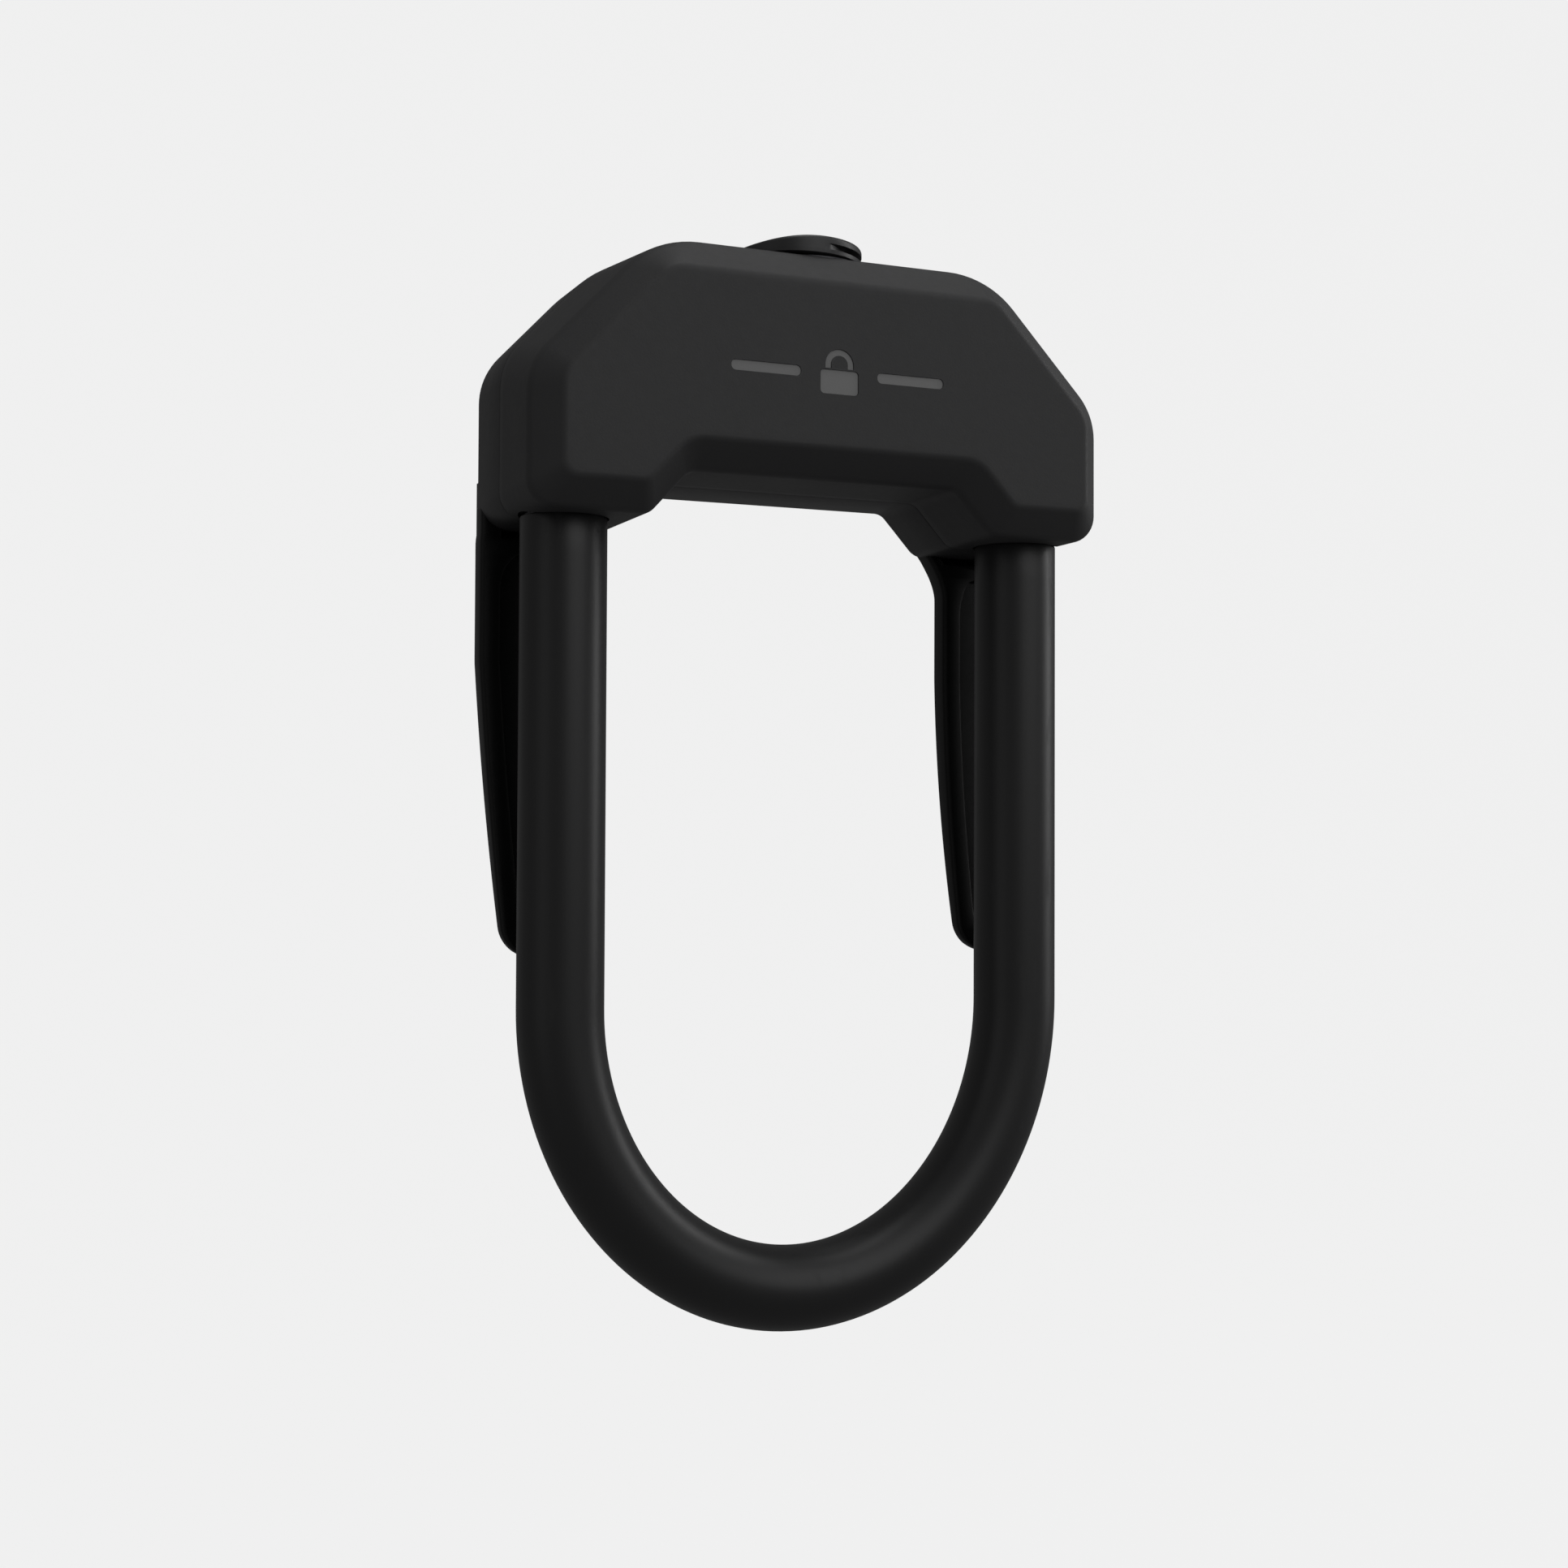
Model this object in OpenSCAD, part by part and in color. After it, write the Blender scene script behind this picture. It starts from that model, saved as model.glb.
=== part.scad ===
// U lock for a bicycle: a short shackle held by a crossbar with two bolts, and two belt
// clips on the back of the crossbar.
// Millimetres. The lock hangs upright: crossbar on top, shackle below, front towards -Y.
// The origin is the middle of the belt space: halfway between the clips, halfway from the
// shackle's legs to the clips, and level with the bottoms of the crossbar's two bosses.

/* [Shackle] */
// Diameter of the steel bar
bar_d = 13; // [11:0.5:14]
// Thickness of the soft coat on the bar
coat_t = 0.8; // [0.5:0.1:1.5]
// Clear width between the coated legs
inner_w = 70.9; // [66:0.1:90]
// Straight length of leg below the crossbar
leg_l = 80.7; // [60:0.1:140]
// Depth of the bend, measured on the bar's centre line
bend_h = 49; // [40:0.5:70]
// Length of bare foot inside the crossbar
foot_l = 22.2; // [21:0.1:23]

/* [Crossbar] */
// Width of plastic outside each leg's centre line
end_w = 9.75; // [9.5:0.05:12]
// Height from the bosses' bottoms to the top
body_h = 46.7; // [44:0.1:56]
// Distance from the legs' centre plane to the front face
front_depth = 16.9; // [16:0.1:22]
// Height of the arch between the bosses
arch_h = 7.5; // [5:0.1:9]
// Width of each boss along its bottom
boss_w = 21.5; // [18:0.1:24]
// Sideways run of the slope from boss to arch
arch_run = 7; // [5:0.1:9]
// Height of the corner between side and shoulder
shoulder_z = 23.85; // [22:0.05:26]
// Slope of the shoulders from the horizontal
shoulder_angle = 46.5; // [40:0.5:50]
// How far the shoulders stand out at the back
shoulder_flare = 2.4; // [0:0.1:3]
// Width of the bevel round the front face
bevel = 4.6; // [3:0.1:5]
// Height of the bevel along the top edge
top_bevel = 5.7; // [3:0.1:6]
// Depth of the bevel from front face to ridge
bevel_depth = 5.1; // [3:0.1:5.2]
// Round-over of the back edges
back_round = 2; // [1:0.1:3]
// Plastic wall
wall = 1.8; // [1.5:0.1:2]
// Distance from the legs' centre plane back to the parting line
seam_back = 5; // [3:0.1:8]

/* [Belt clips] */
// Space for the belt between leg and clip
belt_gap = 8.7; // [6:0.1:12]
// Width of a clip at its root
clip_w = 15.9; // [14:0.1:18]
// Thickness of a clip at its root
clip_t = 4.7; // [3.5:0.1:6]
// Length of a clip below the crossbar
clip_l = 72.8; // [50:0.1:78]
// Narrowing of each edge by the tip
clip_taper = 2.2; // [0:0.1:3]
// How far the tip bends in towards the leg
clip_bend = 5.4; // [0:0.1:6]
// Width of the rim round the clip's pocket
clip_rim = 3.6; // [2:0.1:5]
// Depth of the clip's pocket
clip_pocket = 1.6; // [0.8:0.1:2]

/* [Lock work] */
// Front to back depth of the steel lock block
block_depth = 22; // [21:0.1:22]
// Diameter of a bolt
bolt_d = 7; // [6:0.1:7.2]
// Height of the bolts' centre line
bolt_z = 14.8; // [14.6:0.1:15]
// Travel of each bolt
bolt_travel = 6; // [4:0.1:6]
// Diameter of the lock cylinder's shell
shell_d = 19; // [18:0.1:19]
// Diameter of the turning plug
plug_d = 14; // [13:0.1:14.4]
// Diameter of a lock disc
disc_d = 9; // [8:0.1:9.4]
// Thickness of a lock disc
disc_t = 1.5; // [1.2:0.1:1.6]
// Number of lock discs
disc_count = 9; // [5:1:9]
// Diameter of the dust cover
cover_d = 24.2; // [22:0.1:26]
// Height of the dust cover
cover_h = 3.2; // [3.1:0.1:6]

/* [Hidden] */
$fn = 48;

// Clearances: a running fit, a loose fit, a visible gap, and overrun past a cut face
run_fit = 0.06;
loose = 0.25;
gap = 0.3;
over = 1;

// Shackle
bar_r = bar_d / 2;
coat_r = bar_r + coat_t;
leg_x = inner_w / 2 + coat_r;
leg_y = -(belt_gap / 2 + coat_r);
bend_steps = 30;
bend_sides = 32;
bend_ease = 0.02;
foot_chamfer = 1.5;
sleeve_top = 1;
notch_clear = 0.3;
notch_depth = bolt_travel + notch_clear;

// Crossbar, front to back
front_y = leg_y - front_depth;
ridge_y = front_y + bevel_depth;
seam_y = leg_y + seam_back;
back_y = belt_gap / 2 + clip_t;

// Crossbar, side to side
half_w = leg_x + end_w;
boss_x = half_w - boss_w;
arch_x = boss_x - arch_run;
crown_x = half_w - (body_h - shoulder_z) / tan(shoulder_angle);
corner_steps = 4;

// Crossbar outline, anticlockwise from the right boss, with the radius of each corner.
// A radius below zero marks a hollow corner.
outline = [[boss_x, 0], [half_w, 0], [half_w, shoulder_z], [crown_x, body_h],
           [-crown_x, body_h], [-half_w, shoulder_z], [-half_w, 0], [-boss_x, 0],
           [-arch_x, arch_h], [arch_x, arch_h]];
outline_r = [3, 4.5, 12, 18, 18, 12, 4.5, 3, -3, -3];
least_r = 1;
least_cut = 0.05;

// Lock block
block_half = block_depth / 2;
block_z = arch_h + wall + gap;
block_top = 33.6;
block_x = half_w - wall - gap;
block_shoulder = [[0, 18], [3.4, 26], [10.6, block_top]];
leg_bush_r = end_w - wall - 0.1;
seal_h = 2.4;
bore_fit = 0.25;
foot_bore_top = foot_l + 0.4;
plate_t = 1.4;
plate_x = 23.4;
plate_y = 9.4;
plate_top = block_z + plate_t;
plate_screw_x = 19.6;
pocket_x = 21.6;
pocket_y = 8.4;
pocket_top = bolt_z + 4.8;
bolt_r = bolt_d / 2;
bolt_bore_r = bolt_r + run_fit;

// Bolt work: two crank pins on the cam push the bolts out over a quarter turn
crank_r = bolt_travel / sqrt(2);
crank_pin_r = 1.3;
yoke_t = 3;
yoke_wall = 1.5;
yoke_slot = crank_pin_r + loose;
yoke_root_x = 12;
yoke_foot_t = 3;
spigot_r = 2;
bolt_tip_x = leg_x - bar_r - 0.35;
bolt_root_x = yoke_root_x + yoke_foot_t;
cam_t = 2.2;
cam_r = plug_d / 2 - 0.2;
cam_z = pocket_top + 0.3;
cam_screw_r = 1.15;
cam_head_r = 1.5;

// Lock cylinder
shell_r = shell_d / 2;
shell_z = cam_z + cam_t + 0.3;
plate_z = body_h - 1.4;
shell_top = plate_z;
plug_r = plug_d / 2;
plug_z = shell_z;
plug_top = shell_top - 0.8;
disc_r = disc_d / 2;
disc_z = plug_z + 2;
spacer_t = 0.4;
disc_pitch = disc_t + spacer_t;
stack_h = disc_count * disc_pitch;
key_w = 2.4;
key_l = 6.6;
sidebar_w = 1.8;
gate_depth = 1;
pin_r = 1.5;
pin_x = shell_r + 0.7;
pin_z = 27.5;

// Dust cover and its plate
escutcheon_r = 11.2;
escutcheon_t = 1.6;
escutcheon_top = plate_z + escutcheon_t;
cover_r = cover_d / 2;
rivet_x = -9;
rivet_r = 1.4;
rivet_head_r = 2.5;
cover_z = escutcheon_top + 0.2;
cover_x = -1.5;
cover_low = 1.3;
cover_slope = 14;
finger_z = 0.8;
finger_h = 1.3;
finger_depth = 1.6;
finger_x = 2;

// Screws that hold the two covers together
screw_r = 1.5;
screw_head_r = 2.9;
screw_head_t = 1.8;
post_r = 3.2;
top_screw = [18.5, body_h - 7.2];
low_screw = [27, bolt_z + bolt_r + 3.2];
post_wall = 1;
screw_fit = 0.05;
screw_floor = 3;
rib_t = 1.6;

// Clips
clip_x = half_w - clip_w / 2;
clip_axis_y = back_y - clip_t / 2;
clip_axis_z = -4;
clip_straight = 22;
clip_steps = 12;
tip_t = 3.2;
clip_tip_r = 5;
clip_ease_r = 40;
gusset_x = arch_x + 0.7;
gusset_run = 10.8;
gusset_drop = 0.8;
root_inset = 0.05;

// Mark on the front face
mark_depth = 0.4;
mark_z = 25.5;

function unit(v) = v / norm(v);
function cross2(a, b) = a.x * b.y - a.y * b.x;

// Points of an arc in n steps that rounds the corner at p between the edges to a and b
function corner_arc(a, p, b, r, n = corner_steps) =
    let (u = unit(a - p), v = unit(b - p),
         half = acos(u * v) / 2,
         centre = p + unit(u + v) * r / sin(half),
         start = p + u * r / tan(half) - centre,
         end = p + v * r / tan(half) - centre,
         turn = atan2(cross2(start, end), start * end))
    [for (i = [0:n])
        let (c = cos(turn * i / n), s = sin(turn * i / n))
        centre + [start.x * c - start.y * s, start.x * s + start.y * c]];

// A closed outline with every corner rounded by its own radius
function rounded(points, radii) =
    let (n = len(points))
    [for (i = [0:n - 1])
        each corner_arc(points[(i + n - 1) % n], points[i], points[(i + 1) % n], radii[i])];

// Inward normal of the edge that leaves point i of an anticlockwise outline
function inward(points, i) =
    let (d = unit(points[(i + 1) % len(points)] - points[i])) [-d.y, d.x];

// An outline with each edge moved inwards by its own distance
function inset(points, d) =
    let (n = len(points))
    [for (i = [0:n - 1])
        let (k = (i + n - 1) % n, a = inward(points, k), b = inward(points, i))
        points[i] + [d[k] * b.y - d[i] * a.y, d[i] * a.x - d[k] * b.x] / cross2(a, b)];

// The crossbar's outline moved in by d, with its top edge moved in by top_d and its
// shoulders moved out by flare
function section(d, top_d, flare = 0) =
    let (s = d - flare, edges = [d, d, s, top_d, s, d, d, d, d, d])
    rounded(inset(outline, edges),
            [for (r = outline_r) r > 0 ? max(least_r, r - d) : d - r]);

// The hollow's outline at inset d: each corner is cut straight across, and the corners
// beside the legs stay nearly square so that the seals fit
function hollow_outline(d) =
    let (n = len(outline), points = inset(outline, [for (i = [1:n]) d]))
    [for (i = [0:n - 1])
        each corner_arc(points[(i + n - 1) % n], points[i], points[(i + 1) % n],
                        outline_r[i] > 0 ? max(least_cut, outline_r[i] - 2.6 * d) : d - outline_r[i],
                        1)];

// A solid through a list of [y, outline] sections from front to back
module loft(sections) {
    n = len(sections[0][1]);
    last = len(sections) - 1;
    points = [for (s = sections) each [for (p = s[1]) [p.x, s[0], p.y]]];
    sides = [for (k = [0:last - 1], i = [0:n - 1])
        let (j = (i + 1) % n)
        each [[k * n + i, (k + 1) * n + j, (k + 1) * n + i],
              [k * n + i, k * n + j, (k + 1) * n + j]]];
    front = [for (i = [n - 1:-1:0]) i];
    back = [for (i = [0:n - 1]) last * n + i];
    polyhedron(points, concat([front, back], sides));
}

// The crossbar's outer shape in front of the parting line
module front_form() {
    loft([[front_y, section(bevel, top_bevel)], [ridge_y, section(0, 0)], [seam_y, section(0, 0)]]);
}

// The crossbar's outer shape behind the parting line, with its shoulders standing out
module rear_form() {
    loft([[seam_y, section(0, 0, shoulder_flare)],
          [back_y - back_round, section(0, 0, shoulder_flare)],
          [back_y, section(back_round, back_round, shoulder_flare)]]);
}

// A slab of the hollow between depths y0 and y1
module hollow(d, y0, y1) {
    translate([0, y1, 0]) rotate([90, 0, 0])
        linear_extrude(height = y1 - y0) polygon(hollow_outline(d));
}

// Round hole or rod along Y
module along_y(x, z, r, y0, y1) {
    translate([x, y0, z]) rotate([-90, 0, 0]) cylinder(r = r, h = y1 - y0);
}

// Round hole or rod along X
module along_x(y, z, r, x0, x1) {
    translate([x0, y, z]) rotate([0, 90, 0]) cylinder(r = r, h = x1 - x0);
}

// Box from one corner to the opposite one
module block(from, to) {
    translate(from) cube(to - from);
}

// Holes for the legs and for the plate at the keyway, cut in both covers
module cover_holes() {
    for (side = [-1, 1])
        translate([side * leg_x, leg_y, -over]) cylinder(r = coat_r + gap, h = wall + over + 0.01);
    translate([0, leg_y, body_h - wall - over]) cylinder(r = escutcheon_r + 0.05, h = wall + 2 * over);
}

// Ribs that hold the lock block front and back
module block_ribs(y0, y1) {
    for (x = [-33, -14, 14, 33])
        block([x - rib_t / 2, y0, block_z + 8], [x + rib_t / 2, y1, block_top - 4]);
}

// A closed padlock between two bars, sunk into the front face
module mark() {
    y0 = front_y - over;
    y1 = front_y + mark_depth;
    block([-3.4, y0, mark_z - 3.2], [3.4, y1, mark_z + 1]);
    difference() {
        along_y(0, mark_z + 1, 2.5, y0, y1);
        along_y(0, mark_z + 1, 1.5, y0 - over, y1 + over);
        block([-4, y0 - over, mark_z - 3.2], [4, y1 + over, mark_z + 0.9]);
    }
    for (side = [-1, 1]) {
        block([side > 0 ? 7.2 : -19, y0, mark_z - 0.8], [side > 0 ? 19 : -7.2, y1, mark_z + 0.8]);
    }
}

module front_cover() {
    color("#2b2b2c")
        difference() {
            union() {
                difference() {
                    front_form();
                    hollow(wall, leg_y - block_half - gap, seam_y + over);
                    hollow(top_bevel + wall / 2, front_y + wall, ridge_y + wall);
                }
                for (side = [-1, 1]) {
                    along_y(side * top_screw.x, top_screw.y, post_r, front_y + wall - 0.2, seam_y);
                    along_y(side * low_screw.x, low_screw.y, screw_r + post_wall, front_y + wall - 0.2,
                            leg_y - block_half);
                }
                block_ribs(front_y + wall - 0.2, leg_y - block_half);
            }
            cover_holes();
            mark();
            for (side = [-1, 1], p = [top_screw, low_screw])
                along_y(side * p.x, p.y, screw_r + screw_fit, front_y + wall + screw_floor,
                        seam_y + over);
        }
}

// Outline of the clip's fixed root and its gusset, right-hand side
function root_outline() =
    [[gusset_x, arch_h + wall], [gusset_x + gusset_run, -gusset_drop],
     [clip_x - clip_w / 2, -gusset_drop - 3], [clip_x - clip_w / 2, clip_axis_z],
     [half_w - root_inset, clip_axis_z], [half_w - root_inset, arch_h],
     [gusset_x + gusset_run, arch_h + wall]];

module clip_root(side) {
    mirror([side > 0 ? 0 : 1, 0, 0])
        difference() {
            translate([0, back_y - root_inset, 0]) rotate([90, 0, 0])
                linear_extrude(height = clip_t - root_inset) polygon(root_outline());
            along_x(clip_axis_y, clip_axis_z, clip_t / 2 + loose, 0, half_w + over);
        }
}

module rear_cover() {
    color("#262627")
        difference() {
            union() {
                difference() {
                    rear_form();
                    hollow(wall, seam_y - over, back_y - back_round);
                }
                for (side = [-1, 1]) {
                    clip_root(side);
                    along_y(side * top_screw.x, top_screw.y, post_r, seam_y, back_y - wall + 0.2);
                    along_y(side * low_screw.x, low_screw.y, screw_r + post_wall, leg_y + block_half,
                            back_y - wall + 0.2);
                }
                block_ribs(leg_y + block_half, back_y - wall + 0.2);
            }
            cover_holes();
            for (side = [-1, 1], p = [top_screw, low_screw]) {
                along_y(side * p.x, p.y, screw_r + screw_fit, seam_y - over, back_y + over);
                along_y(side * p.x, p.y, screw_head_r + 0.1, back_y - screw_head_t, back_y + over);
            }
        }
}

// Outline of the steel lock block
function block_outline() =
    concat([[block_x, block_z]], [for (p = block_shoulder) [block_x - p.x, p.y]],
           [for (i = [len(block_shoulder) - 1:-1:0])
               [block_shoulder[i].x - block_x, block_shoulder[i].y]], [[-block_x, block_z]]);

module lock_block() {
    color("#8d9196")
        difference() {
            translate([0, leg_y + block_half, 0]) rotate([90, 0, 0])
                linear_extrude(height = block_depth) polygon(block_outline());
            for (side = [-1, 1]) {
                translate([side * leg_x, leg_y, block_z - over])
                    cylinder(r = bar_r + bore_fit, h = foot_bore_top - block_z + over);
                along_y(side * low_screw.x, low_screw.y, screw_r + 0.2, leg_y - block_half - over,
                        leg_y + block_half + over);
            }
            along_x(leg_y, bolt_z, bolt_bore_r, -leg_x, leg_x);
            block([-pocket_x, leg_y - pocket_y, plate_top - 0.01],
                  [pocket_x, leg_y + pocket_y, pocket_top]);
            block([-plate_x - 0.1, leg_y - plate_y - 0.1, block_z - over],
                  [plate_x + 0.1, leg_y + plate_y + 0.1, plate_top]);
            translate([0, leg_y, pocket_top - 0.01]) cylinder(r = cam_r + 0.8, h = block_top);
            translate([0, leg_y, shell_z]) cylinder(r = shell_r + 0.05, h = block_top);
            along_y(pin_x, pin_z, pin_r + 0.02, leg_y - block_half - over, leg_y + block_half + over);
        }
}

module anti_drill_plate() {
    color("#6f7378")
        difference() {
            block([-plate_x, leg_y - plate_y, block_z], [plate_x, leg_y + plate_y, plate_top]);
            for (side = [-1, 1])
                translate([side * plate_screw_x, leg_y, block_z - over])
                    cylinder(r = 1.55, h = plate_t + 2 * over);
        }
}

// Two short studs that locate the plate, peened over below it
module plate_screws() {
    color("#a5a8ab")
        for (side = [-1, 1])
            translate([side * plate_screw_x, leg_y, block_z]) cylinder(r = 1.5, h = plate_t);
}

module bush(side) {
    color("#b08d3e")
        translate([side * leg_x, leg_y, wall + seal_h])
            difference() {
                cylinder(r = leg_bush_r, h = block_z - wall - seal_h);
                translate([0, 0, -over]) cylinder(r = bar_r + run_fit, h = block_z);
            }
}

module seal(side) {
    color("#151515")
        translate([side * leg_x, leg_y, wall + 0.01])
            difference() {
                cylinder(r = leg_bush_r, h = seal_h - 0.02);
                translate([0, 0, -over]) cylinder(r = bar_r + 0.1, h = block_z);
            }
}

module left_bush() { bush(-1); }
module right_bush() { bush(1); }
module left_seal() { seal(-1); }
module right_seal() { seal(1); }

module cylinder_shell() {
    color("#b9a36a")
        difference() {
            translate([0, leg_y, shell_z]) cylinder(r = shell_r, h = shell_top - shell_z);
            translate([0, leg_y, shell_z - over]) cylinder(r = plug_r + run_fit, h = body_h);
            along_y(pin_x, pin_z, pin_r + 0.02, leg_y - shell_r - over, leg_y + shell_r + over);
            translate([-sidebar_w / 2, leg_y, disc_z]) cube([sidebar_w, plug_r + 1.1, stack_h]);
        }
}

module cylinder_pin() {
    color("#9fa3a7") along_y(pin_x, pin_z, pin_r, leg_y - block_half, leg_y + block_half);
}

module escutcheon() {
    color("#4b4d50")
        difference() {
            translate([0, leg_y, plate_z]) cylinder(r = escutcheon_r, h = escutcheon_t);
            translate([0, leg_y, plate_z - over]) cylinder(r = plug_r - 1, h = escutcheon_t + 2 * over);
            translate([rivet_x, leg_y, plate_z - over]) cylinder(r = rivet_r, h = escutcheon_t + 2 * over);
        }
}

module cover_rivet() {
    color("#8f9296")
        translate([rivet_x, leg_y, 0]) {
            translate([0, 0, plate_z]) cylinder(r = rivet_r, h = cover_z + cover_low - plate_z);
            translate([0, 0, cover_z + cover_low - 0.6]) cylinder(r = rivet_head_r, h = 0.9);
        }
}

module cover_screws() {
    color("#9a9da1")
        for (side = [-1, 1], p = [top_screw, low_screw])
            difference() {
                union() {
                    along_y(side * p.x, p.y, screw_r, front_y + wall + screw_floor + 0.2,
                            back_y - screw_head_t + 0.1);
                    along_y(side * p.x, p.y, screw_head_r, back_y - screw_head_t, back_y - 0.4);
                }
                translate([side * p.x, back_y - 0.4, p.y]) rotate([90, 0, 0])
                    cylinder(r = 1.3, h = 1.1, $fn = 6);
            }
}

// Ring of points round the bend's centre line, a half ellipse, at angle a along it
function bend_ring(a, r) =
    let (out = unit([cos(a) / leg_x, -sin(a) / bend_h]))
    [for (i = [0:bend_sides - 1])
        let (f = 360 * i / bend_sides)
        [leg_x * cos(a) + r * cos(f) * out.x, leg_y + r * sin(f),
         -leg_l - bend_h * sin(a) + r * cos(f) * out.y]];

// Side faces between successive rings whose points start at index first
function ring_faces(first, flip) =
    [for (k = [0:bend_steps - 1], i = [0:bend_sides - 1])
        let (a = first + k * bend_sides + i, b = first + k * bend_sides + (i + 1) % bend_sides,
             c = a + bend_sides, d = b + bend_sides)
        each flip ? [[a, c, d], [a, d, b]] : [[a, d, c], [a, b, d]]];

function bend_points(r) = [for (k = [0:bend_steps]) each bend_ring(180 * k / bend_steps, r)];

// The solid bend of the bar
module bend_bar(r) {
    last = bend_steps * bend_sides;
    polyhedron(bend_points(r),
               concat(ring_faces(0, false), [[for (i = [bend_sides - 1:-1:0]) i]],
                      [[for (i = [0:bend_sides - 1]) last + i]]));
}

// The bend of the coat: an outer skin, an inner skin and two flat rings at the ends
module bend_tube(r, inner) {
    n = (bend_steps + 1) * bend_sides;
    last = bend_steps * bend_sides;
    ends = [for (i = [0:bend_sides - 1])
        let (j = (i + 1) % bend_sides)
        each [[i, n + j, j], [i, n + i, n + j],
              [last + i, last + j, n + last + j], [last + i, n + last + j, n + last + i]]];
    polyhedron(concat(bend_points(r), bend_points(inner)),
               concat(ring_faces(0, false), ring_faces(n, true), ends));
}

module shackle_bar() {
    color("#3a3b3d")
        difference() {
            union() {
                bend_bar(bar_r - bend_ease);
                for (side = [-1, 1])
                    translate([side * leg_x, leg_y, 0]) {
                        translate([0, 0, -leg_l]) cylinder(r = bar_r, h = leg_l + foot_l - foot_chamfer);
                        translate([0, 0, foot_l - foot_chamfer])
                            cylinder(r1 = bar_r, r2 = bar_r - foot_chamfer, h = foot_chamfer);
                    }
            }
            for (side = [-1, 1])
                translate([side * (leg_x - bar_r) - (side > 0 ? over : notch_depth), leg_y - bar_r - over,
                           bolt_z - bolt_r - notch_clear])
                    cube([notch_depth + over, bar_d + 2 * over, bolt_d + 2 * notch_clear]);
        }
}

module shackle_sleeve() {
    color("#1c1c1d") {
        bend_tube(coat_r - bend_ease, bar_r + bend_ease);
        for (side = [-1, 1])
            translate([side * leg_x, leg_y, -leg_l])
                difference() {
                    cylinder(r = coat_r, h = leg_l + sleeve_top);
                    translate([0, 0, -over]) cylinder(r = bar_r, h = leg_l + sleeve_top + 2 * over);
                }
    }
}

// Keyway: a flat-sided slot through the plug's face and the discs
module keyway(z, h) {
    translate([-key_w / 2, leg_y - key_l / 2, z]) cube([key_w, key_l, h]);
}

module plug() {
    color("#c8b273")
        difference() {
            translate([0, leg_y, plug_z]) cylinder(r = plug_r, h = plug_top - plug_z);
            translate([0, leg_y, disc_z]) cylinder(r = disc_r + 0.05, h = stack_h);
            keyway(disc_z, plug_top);
            translate([-sidebar_w / 2 - 0.05, leg_y, disc_z])
                cube([sidebar_w + 0.1, plug_r + over, stack_h]);
            translate([0, leg_y, plug_z - over]) cylinder(r = 1.2, h = disc_z - plug_z + over);
        }
}

// One disc of the stack, with its keyway and its gate for the sidebar
module stack_disc(z, t) {
    difference() {
        translate([0, leg_y, z]) cylinder(r = disc_r, h = t);
        keyway(z - over, t + 2 * over);
        translate([-sidebar_w / 2 - 0.05, leg_y + disc_r - gate_depth, z - over])
            cube([sidebar_w + 0.1, gate_depth + over, t + 2 * over]);
    }
}

module lock_discs() {
    color("#d2c08a") for (i = [0:disc_count - 1]) stack_disc(disc_z + i * disc_pitch, disc_t);
}

module disc_spacers() {
    color("#8a8d90") for (i = [0:disc_count - 1]) stack_disc(disc_z + disc_t + i * disc_pitch, spacer_t);
}

module sidebar() {
    color("#777a7d")
        translate([-sidebar_w / 2, leg_y + disc_r - gate_depth + 0.05, disc_z + 0.1])
            cube([sidebar_w, plug_r - disc_r + gate_depth - 0.25, stack_h - 0.2]);
}

module drive_cam() {
    color("#90949a")
        difference() {
            union() {
                translate([0, leg_y, cam_z]) cylinder(r = cam_r, h = plug_z - cam_z);
                for (side = [-1, 1])
                    translate([-side * crank_r * sin(45), leg_y + side * crank_r * cos(45),
                               bolt_z - yoke_t / 2])
                        cylinder(r = crank_pin_r, h = cam_z - bolt_z + yoke_t / 2 + 0.5);
            }
            translate([0, leg_y, bolt_z]) cylinder(r = 1.2, h = plug_z);
        }
}

module cam_screw() {
    color("#a9acb0")
        translate([0, leg_y, 0]) {
            translate([0, 0, cam_z - 1.2]) cylinder(r = cam_head_r, h = 1.2);
            translate([0, 0, cam_z - 0.1]) cylinder(r = cam_screw_r, h = disc_z - cam_z - 0.2);
        }
}

// A round bolt with a spigot at its root, right-hand side when side is 1
module bolt(side) {
    color("#b4b7ba")
        mirror([side > 0 ? 0 : 1, 0, 0]) {
            along_x(leg_y, bolt_z, bolt_r, bolt_root_x, bolt_tip_x);
            along_x(leg_y, bolt_z, spigot_r, yoke_root_x, bolt_root_x + 0.1);
        }
}

// The yoke that a crank pin pushes: a flat tail with a cross slot, and a foot on the spigot
module yoke(side) {
    slot_x = -crank_r * sin(45);
    low = crank_r * cos(45) - crank_pin_r - loose;
    high = crank_r + crank_pin_r + loose;
    color("#7d8187")
        translate([0, leg_y, 0]) rotate([0, 0, side > 0 ? 0 : 180])
            difference() {
                union() {
                    block([slot_x - yoke_slot - yoke_wall, gap, bolt_z - yoke_t / 2],
                          [yoke_root_x + 0.1, high + yoke_wall, bolt_z + yoke_t / 2]);
                    block([yoke_root_x, -bolt_r + 0.3, bolt_z - bolt_r + 0.3],
                          [bolt_root_x, high + yoke_wall, bolt_z + bolt_r - 0.3]);
                }
                block([slot_x - yoke_slot, low, bolt_z - yoke_t],
                      [slot_x + yoke_slot, high, bolt_z + yoke_t]);
                along_x(0, bolt_z, spigot_r, yoke_root_x - over, bolt_root_x + over);
            }
}

module left_bolt() { bolt(-1); }
module right_bolt() { bolt(1); }
module left_yoke() { yoke(-1); }
module right_yoke() { yoke(1); }

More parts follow.
